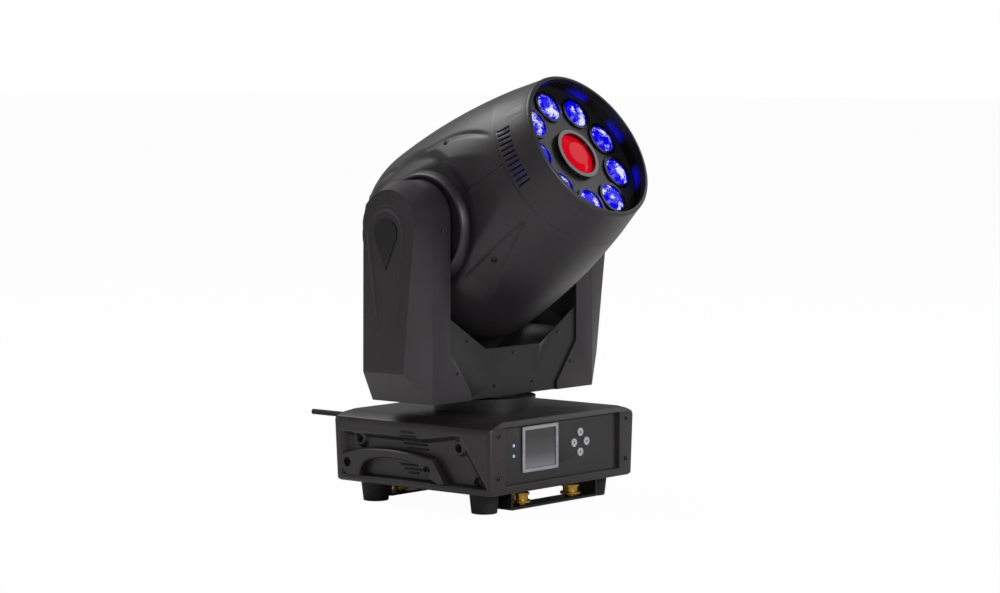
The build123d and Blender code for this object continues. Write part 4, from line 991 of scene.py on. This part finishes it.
def screw_tree() -> bpy.types.NodeTree:
    """Builds the tree that sets cross-recessed screw heads on points.

    Returns:
        The tree, made once.
    """
    found = bpy.data.node_groups.get("cross_screws")
    if found:
        return found
    tree, given = new_tree("cross_screws", Radius="Float", Height="Float", Seed="Int")
    radius, height = given.outputs["Radius"], given.outputs["Height"]
    part = {}
    for source, share in (("Radius", 0.97), ("Radius", 0.7), ("Radius", 1.25), ("Radius", 0.26),
                          ("Height", 0.6), ("Height", 0.4), ("Height", 0.9)):
        scaled = add(tree, "ShaderNodeMath", {0: given.outputs[source], 1: share}, operation="MULTIPLY")
        part[source, share] = scaled.outputs[0]
    lower = add(tree, "GeometryNodeMeshCone", {"Vertices": 28, "Radius Top": part["Radius", 0.97],
                                               "Radius Bottom": radius, "Depth": part["Height", 0.6]})
    upper = add(tree, "GeometryNodeMeshCone",
                {"Vertices": 28, "Radius Top": part["Radius", 0.7], "Radius Bottom": part["Radius", 0.97],
                 "Depth": part["Height", 0.4]})
    lift = add(tree, "ShaderNodeCombineXYZ", {"Z": part["Height", 0.6]})
    raised = add(tree, "GeometryNodeTransform", {"Geometry": upper.outputs[0], "Translation": lift.outputs[0]})
    joined = add(tree, "GeometryNodeJoinGeometry")
    tree.links.new(lower.outputs[0], joined.inputs[0])
    tree.links.new(raised.outputs[0], joined.inputs[0])
    merged = add(tree, "GeometryNodeMergeByDistance", {"Geometry": joined.outputs[0], "Distance": 0.00001})
    bars = add(tree, "GeometryNodeJoinGeometry")
    for size in ((1.25, 0.26), (0.26, 1.25)):
        shape = add(tree, "ShaderNodeCombineXYZ", {"X": part["Radius", size[0]], "Y": part["Radius", size[1]],
                                                   "Z": part["Height", 0.9]})
        bar = add(tree, "GeometryNodeMeshCube", {"Size": shape.outputs[0]})
        tree.links.new(bar.outputs[0], bars.inputs[0])
    deep = add(tree, "ShaderNodeCombineXYZ", {"Z": height})
    placed = add(tree, "GeometryNodeTransform", {"Geometry": bars.outputs[0], "Translation": deep.outputs[0]})
    cut = add(tree, "GeometryNodeMeshBoolean", {0: merged.outputs[0]}, operation="DIFFERENCE")
    tree.links.new(placed.outputs[0], cut.inputs[1])
    facing = add(tree, "GeometryNodeInputNormal")
    aim = add(tree, "FunctionNodeAlignRotationToVector", {"Vector": facing.outputs[0]}, axis="Z")
    spin = add(tree, "FunctionNodeRandomValue", {"Seed": given.outputs["Seed"]}, data_type="FLOAT")
    angle = add(tree, "ShaderNodeMath", {0: spin.outputs[1], 1: math.pi}, operation="MULTIPLY")
    about = add(tree, "FunctionNodeAxisAngleToRotation", {"Axis": (0.0, 0.0, 1.0), "Angle": angle.outputs[0]})
    turned_by = add(tree, "FunctionNodeRotateRotation",
                    {"Rotation": aim.outputs[0], "Rotate By": about.outputs[0]}, rotation_space="LOCAL")
    middle = add(tree, "GeometryNodeMeshToPoints", {"Mesh": given.outputs["Geometry"], "Radius": 0.001},
                 mode="FACES")
    keep = add(tree, "GeometryNodeCaptureAttribute", {"Geometry": given.outputs["Geometry"]}, domain="FACE")
    keep.capture_items.new("ROTATION", "aim")
    tree.links.new(turned_by.outputs[0], keep.inputs["aim"])
    tree.links.new(keep.outputs["Geometry"], middle.inputs["Mesh"])
    copies = add(tree, "GeometryNodeInstanceOnPoints", {"Points": middle.outputs[0], "Instance": cut.outputs[0],
                                                        "Rotation": keep.outputs["aim"]})
    close_tree(tree, given, copies)
    return tree


@dataclass
class ScrewSet:
    """A set of equal screws on one body.

    Attributes:
        name: Its name.
        body: What it moves with.
        places: Where each head sits, in millimetres, and the way it faces.
        radius: Radius of a head.
        height: Height of a head.
        finish: Its finish.
        nodes: The nodes that the set stands for.
    """

    name: str
    body: Body
    places: Sequence[tuple[Vector, Vector]]
    radius: float = 3.2
    height: float = 1.6
    finish: Finish = ZINC_STEEL
    nodes: tuple[str, ...] = ()

    def make(self) -> None:
        """Builds the set."""
        points, faces = [], []
        for place, facing in self.places:
            side = facing.orthogonal().normalized()
            across = facing.normalized().cross(side)
            start = len(points)
            points += [place * MM + (side * math.cos(a) + across * math.sin(a)) * 0.2 * MM
                       for a in (0.0, 2 * math.pi / 3, 4 * math.pi / 3)]
            faces.append((start, start + 1, start + 2))
        mesh = bpy.data.meshes.new(self.name)
        mesh.from_pydata([tuple(p) for p in points], [], faces)
        piece = show(self.name, mesh)
        run_tree(piece, screw_tree(), {"Radius": self.radius * MM, "Height": self.height * MM, "Seed": 7,
                                       "Finish": self.finish.build()})
        settle(piece, self.finish, self.body, *self.nodes)


def cut(piece: bpy.types.Object, cutter: bpy.types.Object) -> None:
    """Takes one closed shape out of another.

    Args:
        piece: What is cut.
        cutter: What is taken away; it is removed afterwards.
    """
    knife = piece.modifiers.new("cut", "BOOLEAN")
    knife.operation, knife.solver, knife.object = "DIFFERENCE", "EXACT", cutter
    flatten(piece)
    bpy.data.objects.remove(cutter)


def block(name: str, low: Sequence[float], high: Sequence[float], taper: float = 0.0) -> bpy.types.Object:
    """Makes a block in millimetres that widens towards -Y.

    Args:
        name: Its name.
        low: Lowest corner.
        high: Highest corner.
        taper: How far each side leans out at the -Y end.

    Returns:
        The object.
    """
    points = []
    for y, lean in ((low[1], taper), (high[1], 0.0)):
        left, right, bottom, top = low[0] - lean, high[0] + lean, low[2] - lean, high[2] + lean
        points += [Vector((x, y, z)) * MM
                   for x, z in ((left, bottom), (right, bottom), (right, top), (left, top))]
    faces = [(0, 1, 2, 3), (7, 6, 5, 4)] + [(i, (i + 1) % 4, 4 + (i + 1) % 4, 4 + i) for i in range(4)]
    return solid(name, points, faces)


@dataclass
class BaseHousing:
    """The moulded base: a rounded body with a framed front, dished sides with vents, and bridge handles.

    Attributes:
        rings: Height, half width, front, rear and corner radius of each level, in millimetres.
        opening: Half width, low and high edge of the front opening.
        dish: Depth of the dished sides.
        step: Distance between points of a side.
        hole_places: Screw wells in the sides, along and up.
        side_span: Lowest and highest edge of a side's skin, and where it starts and ends along Y.
        handle_line: Outline of a handle, along and up.
        handle_wells: Screw wells in a handle, along and up.
        slots: Middle, height and length of each vent slot.
    """

    rings: Sequence[tuple[float, float, float, float, float]] = (
        (26.0, 138.5, -126.5, 125.5, 5.0), (28.5, 141.4, -129.2, 128.0, 5.0),
        (104.0, 144.4, -129.8, 129.5, 5.0), (108.5, 143.2, -129.6, 128.8, 6.0),
        (112.5, 135.5, -128.8, 125.0, 8.0), (116.0, 124.0, -126.0, 118.0, 10.0))
    opening: tuple[float, float, float] = (113.5, 37.5, 107.0)
    dish: float = 10.5
    step: float = 1.4
    hole_places: Sequence[tuple[float, float]] = ((89.0, 82.5), (-75.5, 82.5))
    side_span: tuple[float, float, float, float] = (31.5, 101.0, -124.6, 123.5)
    handle_line: Sequence[tuple[float, float]] = (
        (124, 57), (112, 62), (95, 66.5), (78, 69.6), (61, 71.3), (40, 72.2), (20, 71.6), (0, 70), (-18, 68),
        (-34, 65.5), (-41, 56), (-49, 44), (-55, 35.5), (-44, 34.8), (-30, 41), (-20, 50), (-12, 56), (2, 59),
        (20, 61), (38, 61.6), (56, 60), (70, 57), (80, 52), (85, 44), (87, 35), (108, 35), (117, 44))
    handle_wells: Sequence[tuple[float, float]] = ((106.0, 51.0), (-27.0, 50.4))
    slots: Sequence[tuple[float, float, float]] = (
        (6.0, 96.0, 20.0), (4.5, 90.8, 27.0), (2.5, 85.6, 33.0), (0.0, 80.4, 38.0), (-3.5, 75.2, 34.0),
        (9.0, 53.6, 34.0), (6.0, 48.8, 27.0), (4.0, 44.2, 15.0))

    def body(self) -> bpy.types.Object:
        """Builds the body with its front opening, side pockets and rear opening.

        Returns:
            The object, still without its rounded edges.
        """
        points, corner = [], 6
        for z, half, front, rear, radius in self.rings:
            for sx, sy, begin in ((1, 1, 0.0), (-1, 1, 0.5), (-1, -1, 1.0), (1, -1, 1.5)):
                centre = Vector((sx * (half - radius), (rear - radius) if sy > 0 else (front + radius), z))
                for i in range(corner):
                    turn = math.pi * (begin + 0.5 * i / (corner - 1))
                    points.append((centre + Vector((math.cos(turn), math.sin(turn), 0)) * radius) * MM)
        count = 4 * corner
        faces: list[tuple[int, ...]] = list(grid_faces(len(self.rings), count, closed=True))
        faces.append(tuple(reversed(range(count))))
        faces.append(tuple(range(count * (len(self.rings) - 1), count * len(self.rings))))
        piece = solid("base_housing", points, faces, 30.0)
        half, low, high = self.opening
        cut(piece, block("front_cut", (-half, -140.0, low), (half, -123.4, high), 3.0))
        low_corner, high_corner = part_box("rear_panel")
        cut(piece, block("rear_cut", (low_corner.x / MM + 2, 119.0, low_corner.z / MM + 2),
                         (high_corner.x / MM - 2, 140.0, high_corner.z / MM - 2)))
        for side in Side:
            ends = sorted((side * 127.0, side * 160.0))
            cut(piece, block("side_cut", (ends[0], -122.0, 35.0), (ends[1], 119.0, 97.0)))
        for edge in piece.data.edges:
            edge.use_edge_sharp = False
        return piece

    def face(self, up: float) -> float:
        """Distance of a side's plain face from the middle at a height, in millimetres."""
        (low, inner), (high, outer) = (ring[:2] for ring in self.rings[1:3])
        return inner + (outer - inner) * (up - low) / (high - low)

    def depth(self, along: float, up: float) -> float:
        """Depth of a side below its plain face.

        Args:
            along: Place along Y.
            up: Height.

        Returns:
            The depth in millimetres.
        """
        lean = (along + 79) + (80 - up) * 31 / 45
        from_front = lean * 0.82
        top = 91 + 10 * fade(-along, 10, 95)
        inside = min(fade(from_front, -13, 2), fade(118.5 - along, 0, 9), fade(top - up, 0, 8),
                     fade(up - 33.5, 0, 4))
        value = self.dish * inside
        for place, height in self.hole_places:
            reach = math.hypot(along - place, up - height)
            value = value * fade(reach, 7.5, 12.5) + 4.0 * (1 - fade(reach, 7.5, 12.5)) * inside
            value += 9.0 * (1 - fade(reach, 4.0, 5.4))
        corner = math.hypot(along + 100, up - 42)
        return value + 5.0 * (1 - fade(corner, 4.0, 5.2))

    def dished_side(self, side: Side) -> bpy.types.Object:
        """Builds one dished side.

        Args:
            side: Which side.

        Returns:
            The object.
        """
        low, high, start, end = self.side_span
        rows, columns = int((high - low) / self.step), int((end - start) / self.step)
        points = []
        for back in (0.0, 1.2):
            for row in range(rows):
                up = low + (high - low) * row / (rows - 1)
                face = self.face(up) + 0.12
                for column in range(columns):
                    along = start + (end - start) * column / (columns - 1)
                    points.append(Vector((side * (face - self.depth(along, up) - back), along, up)) * MM)
        return thin_shell("base_side_" + side.name.lower(), points, rows, columns, 60.0)

    def handle(self, side: Side) -> bpy.types.Object:
        """Builds one bridge handle.

        Args:
            side: Which side.

        Returns:
            The object.
        """
        outline = self.handle_line
        points, count = [], len(outline)
        for x, shrink in ((126.0, 0.0), (142.6, 0.0), (144.8, 1.6)):
            for i, (y, z) in enumerate(outline):
                before, after = outline[i - 1], outline[(i + 1) % count]
                run = Vector((0, after[0] - before[0], after[1] - before[1])).normalized()
                inward = Vector((0, run.z, -run.y))
                place = Vector((x, y, z)) - inward * shrink
                points.append(Vector((side * place.x, place.y, place.z)) * MM)
        faces: list[tuple[int, ...]] = list(grid_faces(3, count, closed=True))
        faces += [tuple(reversed(range(count))), tuple(range(2 * count, 3 * count))]
        piece = solid("carry_handle_" + side.name.lower(), points, faces, 50.0)
        for y, z in self.handle_wells:
            well = turned("well", [(0.01, -6.0), (5.4, -6.0), (6.0, 0.0), (7.6, 2.0), (7.6, 4.0), (0.01, 4.0)],
                          Vector((side * 144.8, y, z)) * MM, Vector((side, 0, 0)), 32)
            cut(piece, well)
        round_edges(piece, 0.7, 35.0)
        return piece

    def vents(self, side: Side) -> bpy.types.Object:
        """Builds the vent slots of one side with a node tree, as dark beads whose black is painted shade of the slot
        openings.

        Args:
            side: Which side.

        Returns:
            The object.
        """
        points, edges, steps = [], [], 8
        for along, up, length in self.slots:
            start = len(points)
            for i in range(steps + 1):
                y = along - length / 2 + length * i / steps
                points.append(Vector((side * (self.face(up) - self.depth(y, up) + 0.7), y, up)) * MM)
            edges += [(start + i, start + i + 1) for i in range(steps)]
        mesh = bpy.data.meshes.new("slots")
        mesh.from_pydata([tuple(p) for p in points], edges, [])
        piece = show("base_vent_shade_" + side.name.lower(), mesh)
        # The beads' black is painted shade of the slot openings, not holes cut in the side.
        return run_tree(piece, bead_tree(), {"Radius": 1.15 * MM, "Finish": INNER_ABS_AND_SLOT_SHADE.build()})

    def make(self) -> None:
        """Builds, dresses and ties the base's moulded pieces."""
        body = self.body()
        round_edges(body, 1.2, 32.0)
        settle(body, BASE_ABS, Body.BASE, "base_shell", "side_handles")
        for side in Side:
            settle(self.dished_side(side), BASE_ABS, Body.BASE)
            settle(self.handle(side), BASE_ABS, Body.BASE)
            settle(self.vents(side), INNER_ABS_AND_SLOT_SHADE, Body.BASE)


def bead_tree() -> bpy.types.NodeTree:
    """Builds the tree that turns edges into round beads.

    Returns:
        The tree, made once.
    """
    found = bpy.data.node_groups.get("beads")
    if found:
        return found
    tree, given = new_tree("beads", Radius="Float")
    line = add(tree, "GeometryNodeMeshToCurve", {"Mesh": given.outputs["Geometry"]})
    ring = add(tree, "GeometryNodeCurvePrimitiveCircle", {"Resolution": 10, "Radius": given.outputs["Radius"]})
    bead = add(tree, "GeometryNodeCurveToMesh", {"Curve": line.outputs[0], "Profile Curve": ring.outputs[0],
                                                 "Fill Caps": True})
    close_tree(tree, given, bead)
    return tree


@dataclass
class YokeTrim:
    """What stands proud on the arms: a low ridge round each badge.

    Attributes:
        face: Distance of an arm's outer face from the middle, in millimetres.
        ridge: Half of the ridge's line, along and up, from its foot to its crown.
        middle: Where the two halves of the ridge mirror.
        half: Half width of the ridge.
        proud: Height of the ridge.
    """

    face: float = 191.9
    ridge: Sequence[tuple[float, float]] = ((-16.0, 226.0), (-20.0, 255.0), (-24.0, 285.0), (-28.0, 312.0),
                                            (-31.0, 332.0), (-32.0, 346.0), (-30.0, 358.0), (-24.5, 368.0),
                                            (-16.0, 375.0), (-5.0, 377.8))
    middle: float = -3.5
    half: float = 4.6
    proud: float = 1.2

    def ridge_piece(self, side: Side) -> bpy.types.Object:
        """Builds one ridge.

        Args:
            side: Which arm.

        Returns:
            The object.
        """
        line = list(self.ridge) + [(2 * self.middle - y, z) for y, z in reversed(self.ridge)]
        profile = [(-1.0, -0.6), (-1.0, 0.0), (-0.62, 0.55), (-0.3, 0.92), (0.0, 1.0), (0.3, 0.92), (0.62, 0.55),
                   (1.0, 0.0), (1.0, -0.6)]
        points = []
        for i, (y, z) in enumerate(line):
            before, after = line[max(0, i - 1)], line[min(len(line) - 1, i + 1)]
            run = Vector((0, after[0] - before[0], after[1] - before[1])).normalized()
            across = Vector((0, run.z, -run.y))
            share = fade(min(i, len(line) - 1 - i), -1, 4)
            for offset, rise in profile:
                place = Vector((self.face + (self.proud * rise if rise > 0 else rise), y, z))
                place += across * offset * self.half * (0.35 + 0.65 * share)
                points.append(Vector((side * place.x, place.y, place.z)) * MM)
        faces: list[tuple[int, ...]] = list(grid_faces(len(line), len(profile), closed=True))
        count = len(profile)
        faces += [tuple(range(count)), tuple(reversed(range(count * (len(line) - 1), count * len(line))))]
        piece = solid("badge_ridge_" + side.name.lower(), points, faces, 60.0)
        smooth = piece.modifiers.new("smooth", "SUBSURF")
        smooth.levels = smooth.render_levels = 1
        return piece

    def make(self) -> None:
        """Builds, dresses and ties the trim."""
        for side in Side:
            settle(self.ridge_piece(side), SHELL_ABS, Body.YOKE)


@dataclass
class KeyMarks:
    """The raised triangle on each key.

    Attributes:
        reach: Distance of a triangle's corners from its middle, in millimetres.
        sunk: How far it reaches into the key.
        proud: How far it stands out.
        turns: Which way each triangle points, in degrees from up.
    """

    reach: float = 1.9
    sunk: float = 0.3
    proud: float = 0.25
    turns: Sequence[tuple[str, float]] = (("button_up", 0.0), ("button_left", 90.0), ("button_down", 180.0),
                                          ("button_right", 270.0))

    def make(self) -> None:
        """Builds, dresses and ties the marks."""
        faces = [(0, 1, 2), (5, 4, 3), (0, 3, 4, 1), (1, 4, 5, 2), (2, 5, 3, 0)]
        for node, turn in self.turns:
            low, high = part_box(node)
            middle, points = (low + high) / 2, []
            for y in (low.y + self.sunk * MM, low.y - self.proud * MM):
                for corner in range(3):
                    angle = math.radians(turn + 90 + 120 * corner)
                    points.append(Vector((middle.x + self.reach * MM * math.cos(angle), y,
                                          middle.z + self.reach * MM * math.sin(angle))))
            settle(solid(node + "_mark", points, faces), INNER_ABS_AND_SLOT_SHADE, node)


@dataclass
class Fixings:
    """Every screw that shows, in one set for each body and size.

    Attributes:
        frame_x: Distance of the base's corner screws from the middle, in millimetres.
        frame_z: Their heights.
        front: Place of the front ones along Y.
        rear: Place of the rear ones.
        wells: Screws in the sides of the base, along, up and out.
        arm: Screws in the edges of the arms, out and up.
        arm_y: How far in front of and behind the middle these are.
        bar: Screws in the crossbar plates, out and up.
        bar_y: How far in front of and behind the middle these are.
        centre: The plates' middle screws, along Y and up.
        shell: Screws of the head's shells, along its axis and across it.
    """

    frame_x: float = 127.5
    frame_z: tuple[float, float] = (48.0, 100.0)
    front: float = -129.6
    rear: float = 128.6
    wells: Sequence[tuple[float, float, float]] = (
        (106.0, 51.0, 138.9), (-27.0, 50.4, 138.9), (-100.0, 42.0, 136.6), (89.0, 82.5, 127.6),
        (-75.5, 82.5, 128.6))
    arm: Sequence[tuple[float, float]] = ((141, 348), (112, 170))
    arm_y: float = 50.3
    bar: Sequence[tuple[float, float]] = ((90, 209), (37.5, 149))
    bar_y: float = 47.3
    centre: tuple[float, float] = (47.1, 189)
    shell: Sequence[tuple[float, float]] = ((62.0, -83.0), (72.0, 80.0))

    def in_base(self) -> list[tuple[Vector, Vector]]:
        """Places and directions of the corner screws of the base."""
        return [(Vector((side * self.frame_x, y, z)), Vector((0, facing, 0))) for side in Side
                for z in self.frame_z for y, facing in ((self.front, -1), (self.rear, 1))]

    def in_wells(self) -> list[tuple[Vector, Vector]]:
        """Places and directions of the screws in the base's sides."""
        return [(Vector((side * x, y, z)), Vector((side, 0, 0))) for side in Side for y, z, x in self.wells]

    def in_yoke(self) -> list[tuple[Vector, Vector]]:
        """Lists the screws of the arms and the crossbar plates.

        Returns:
            Their places and directions.
        """
        places = [(Vector((side * x, facing * y, z)), Vector((0, facing, 0))) for side in Side
                  for facing in (-1, 1) for row, y in ((self.arm, self.arm_y), (self.bar, self.bar_y))
                  for x, z in row]
        y, z = self.centre
        return places + [(Vector((0, facing * y, z)), Vector((0, facing, 0))) for facing in (-1, 1)]

    def in_head(self) -> list[tuple[Vector, Vector]]:
        """Lists the screws of the head's shells.

        Returns:
            Their places and directions.
        """
        skin, places = HeadSkin(), []
        for side in Side:
            for along, height in self.shell:
                turn = math.asin(height / skin.radius(along))
                place = skin.skin(along, turn if side > 0 else math.pi - turn, -0.1)
                places.append((place / MM, (place - PIVOT - FORWARD * along * MM).normalized()))
        return places

    def make(self) -> None:
        """Builds, dresses and ties the sets."""
        for screws in (
                ScrewSet("frame_screws", Body.BASE, self.in_base(), 2.9, 1.2, BLACK_STEEL, ("base_screws",)),
                ScrewSet("well_screws", Body.BASE, self.in_wells(), 3.6, 1.4, BLACK_STEEL),
                ScrewSet("arm_screws", Body.YOKE, self.in_yoke(), 3.3, 1.7, ZINC_STEEL, ("yoke_screws",)),
                ScrewSet("shell_screws", Body.HEAD, self.in_head(), 4.2, 1.0, BLACK_STEEL, ("head_screws",))):
            screws.make()


@dataclass
class RimLiner:
    """The polished wall inside the front rim.

    Attributes:
        profile: Radius and place along the head's axis of each corner of the wall, in millimetres.
    """

    profile: Sequence[tuple[float, float]] = ((101.5, 172.4), (95.6, 197.4), (96.6, 197.6), (103.5, 172.4))

    def make(self) -> None:
        """Builds, dresses and ties the wall."""
        settle(turned("rim_liner", self.profile, PIVOT, FORWARD, 120), LINER, Body.HEAD)


@dataclass
class ClampHardware:
    """The two clamp brackets under the base, and the gold quarter-turn fasteners that stand on them.

    Attributes:
        reach: Half length of a bracket, in millimetres.
        width: Half width of a bracket.
        sheet: Thickness of its steel.
        low: Height of its underside.
        rows: Where the brackets lie along Y.
    """

    reach: float = 86.0
    width: float = 15.0
    sheet: float = 3.0
    low: float = 2.6
    rows: tuple[float, float] = (-100.0, 100.0)

    def bracket(self, row: float) -> bpy.types.Object:
        """Builds one bracket as a bent strip.

        Args:
            row: Where it lies along Y.

        Returns:
            The object.
        """
        top, s, r = 25.6, self.sheet, self.reach
        outer = [(-r, top), (-r, self.low + 2), (-r + 2, self.low), (-30, self.low), (30, self.low),
                 (r - 2, self.low), (r, self.low + 2), (r, top)]
        inner = [(r - s, top), (r - s, self.low + s), (30, self.low + s), (-30, self.low + s),
                 (-r + s, self.low + s), (-r + s, top)]
        outline = outer + inner
        points = [Vector((x, row + y, z)) * MM for y in (-self.width, self.width) for x, z in outline]
        count = len(outline)
        faces: list[tuple[int, ...]] = [tuple(range(count)), tuple(reversed(range(count, 2 * count)))]
        faces += [(i, (i + 1) % count, count + (i + 1) % count, count + i) for i in range(count)]
        piece = solid("clamp_bracket_" + ("front" if row < 0 else "rear"), points, faces)
        cut(piece, turned("hole", [(0.01, -2.0), (6.5, -2.0), (6.5, 9.0), (0.01, 9.0)],
                          Vector((0, row, 0)) * MM, Vector((0, 0, 1)), 32))
        round_edges(piece, 0.35)
        return piece

    def fastener(self, number: int) -> bpy.types.Object:
        """Builds one fastener: a plain turned drum over a wide washer, with a wing slot in its foot.

        Args:
            number: Which of the four, from one.

        Returns:
            The object.
        """
        low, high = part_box(f"quarter_turn_{number}")
        centre = Vector(((low.x + high.x) / 2, (low.y + high.y) / 2, 0.0))
        profile = [(0.01, 5.8), (7.0, 5.8), (7.4, 6.2), (7.4, 8.2), (12.6, 8.2), (13.2, 8.8), (13.2, 10.8),
                   (12.6, 11.4), (9.6, 11.4), (9.6, 17.4), (11.4, 18.0), (11.4, 20.4), (10.8, 21.0), (5.0, 21.0),
                   (5.0, 25.4), (0.01, 25.4)]
        piece = turned(f"clamp_fastener_{number}", profile, centre, Vector((0, 0, 1)), 48)
        x, y = centre.x / MM, centre.y / MM
        cut(piece, block("slot", (x - 9, y - 0.9, 4.0), (x + 9, y + 0.9, 7.4)))
        return piece

    def make(self) -> None:
        """Builds, dresses and ties the hardware."""
        for number, row in enumerate(self.rows):
            nodes = ("omega_brackets",) if number == 0 else ()
            settle(self.bracket(row), COATED_STEEL, Body.BASE, *nodes)
        for number in range(1, 5):
            settle(self.fastener(number), GOLD_ZINC, f"fastener_{number}", f"quarter_turn_{number}")


MOULDINGS = (
    Moulding("front_panel", Body.BASE, PANEL_ABS, 0.4),
    Moulding("display_bezel", Body.BASE, SILVER_PAINT, 0.5),
    Moulding("rubber_feet", Body.BASE, RUBBER, 0.8),
    Moulding("rear_panel", Body.BASE, COATED_STEEL, 0.4),
    Moulding("rear_sockets", Body.BASE, INNER_ABS_AND_SLOT_SHADE, 0.3),
    Moulding("arm_cover_left", Body.YOKE, SHELL_ABS, 1.2),
    Moulding("arm_cover_right", Body.YOKE, SHELL_ABS, 1.2),
    Moulding("yoke_frame", Body.YOKE, COATED_STEEL, 0.4),
    Moulding("crossbar_plate_front", Body.YOKE, COATED_STEEL, 0.4),
    Moulding("crossbar_plate_rear", Body.YOKE, COATED_STEEL, 0.4),
    Moulding("front_sleeve", Body.HEAD, SHELL_ABS, 0.5),
    Moulding("rear_cap", Body.HEAD, SHELL_ABS, 0.6),
    Moulding("centre_barrel", Body.HEAD, GLOSS_ABS, 0.4),
    Moulding("lens_plate", Body.HEAD, PLATE_ABS, 0.2),
)


def main() -> None:
    """Builds the studio and the object's looks."""
    Studio().make()
    dress_frame()
    for assembly in (HeadSkin(), BaseHousing(), YokeTrim(), KeyMarks(), RimLiner(), ClampHardware(), Fixings()):
        assembly.make()
    for moulding in MOULDINGS:
        moulding.make()


if __name__ == "__main__":
    logging.basicConfig(level=logging.INFO, format="%(message)s")
    main()
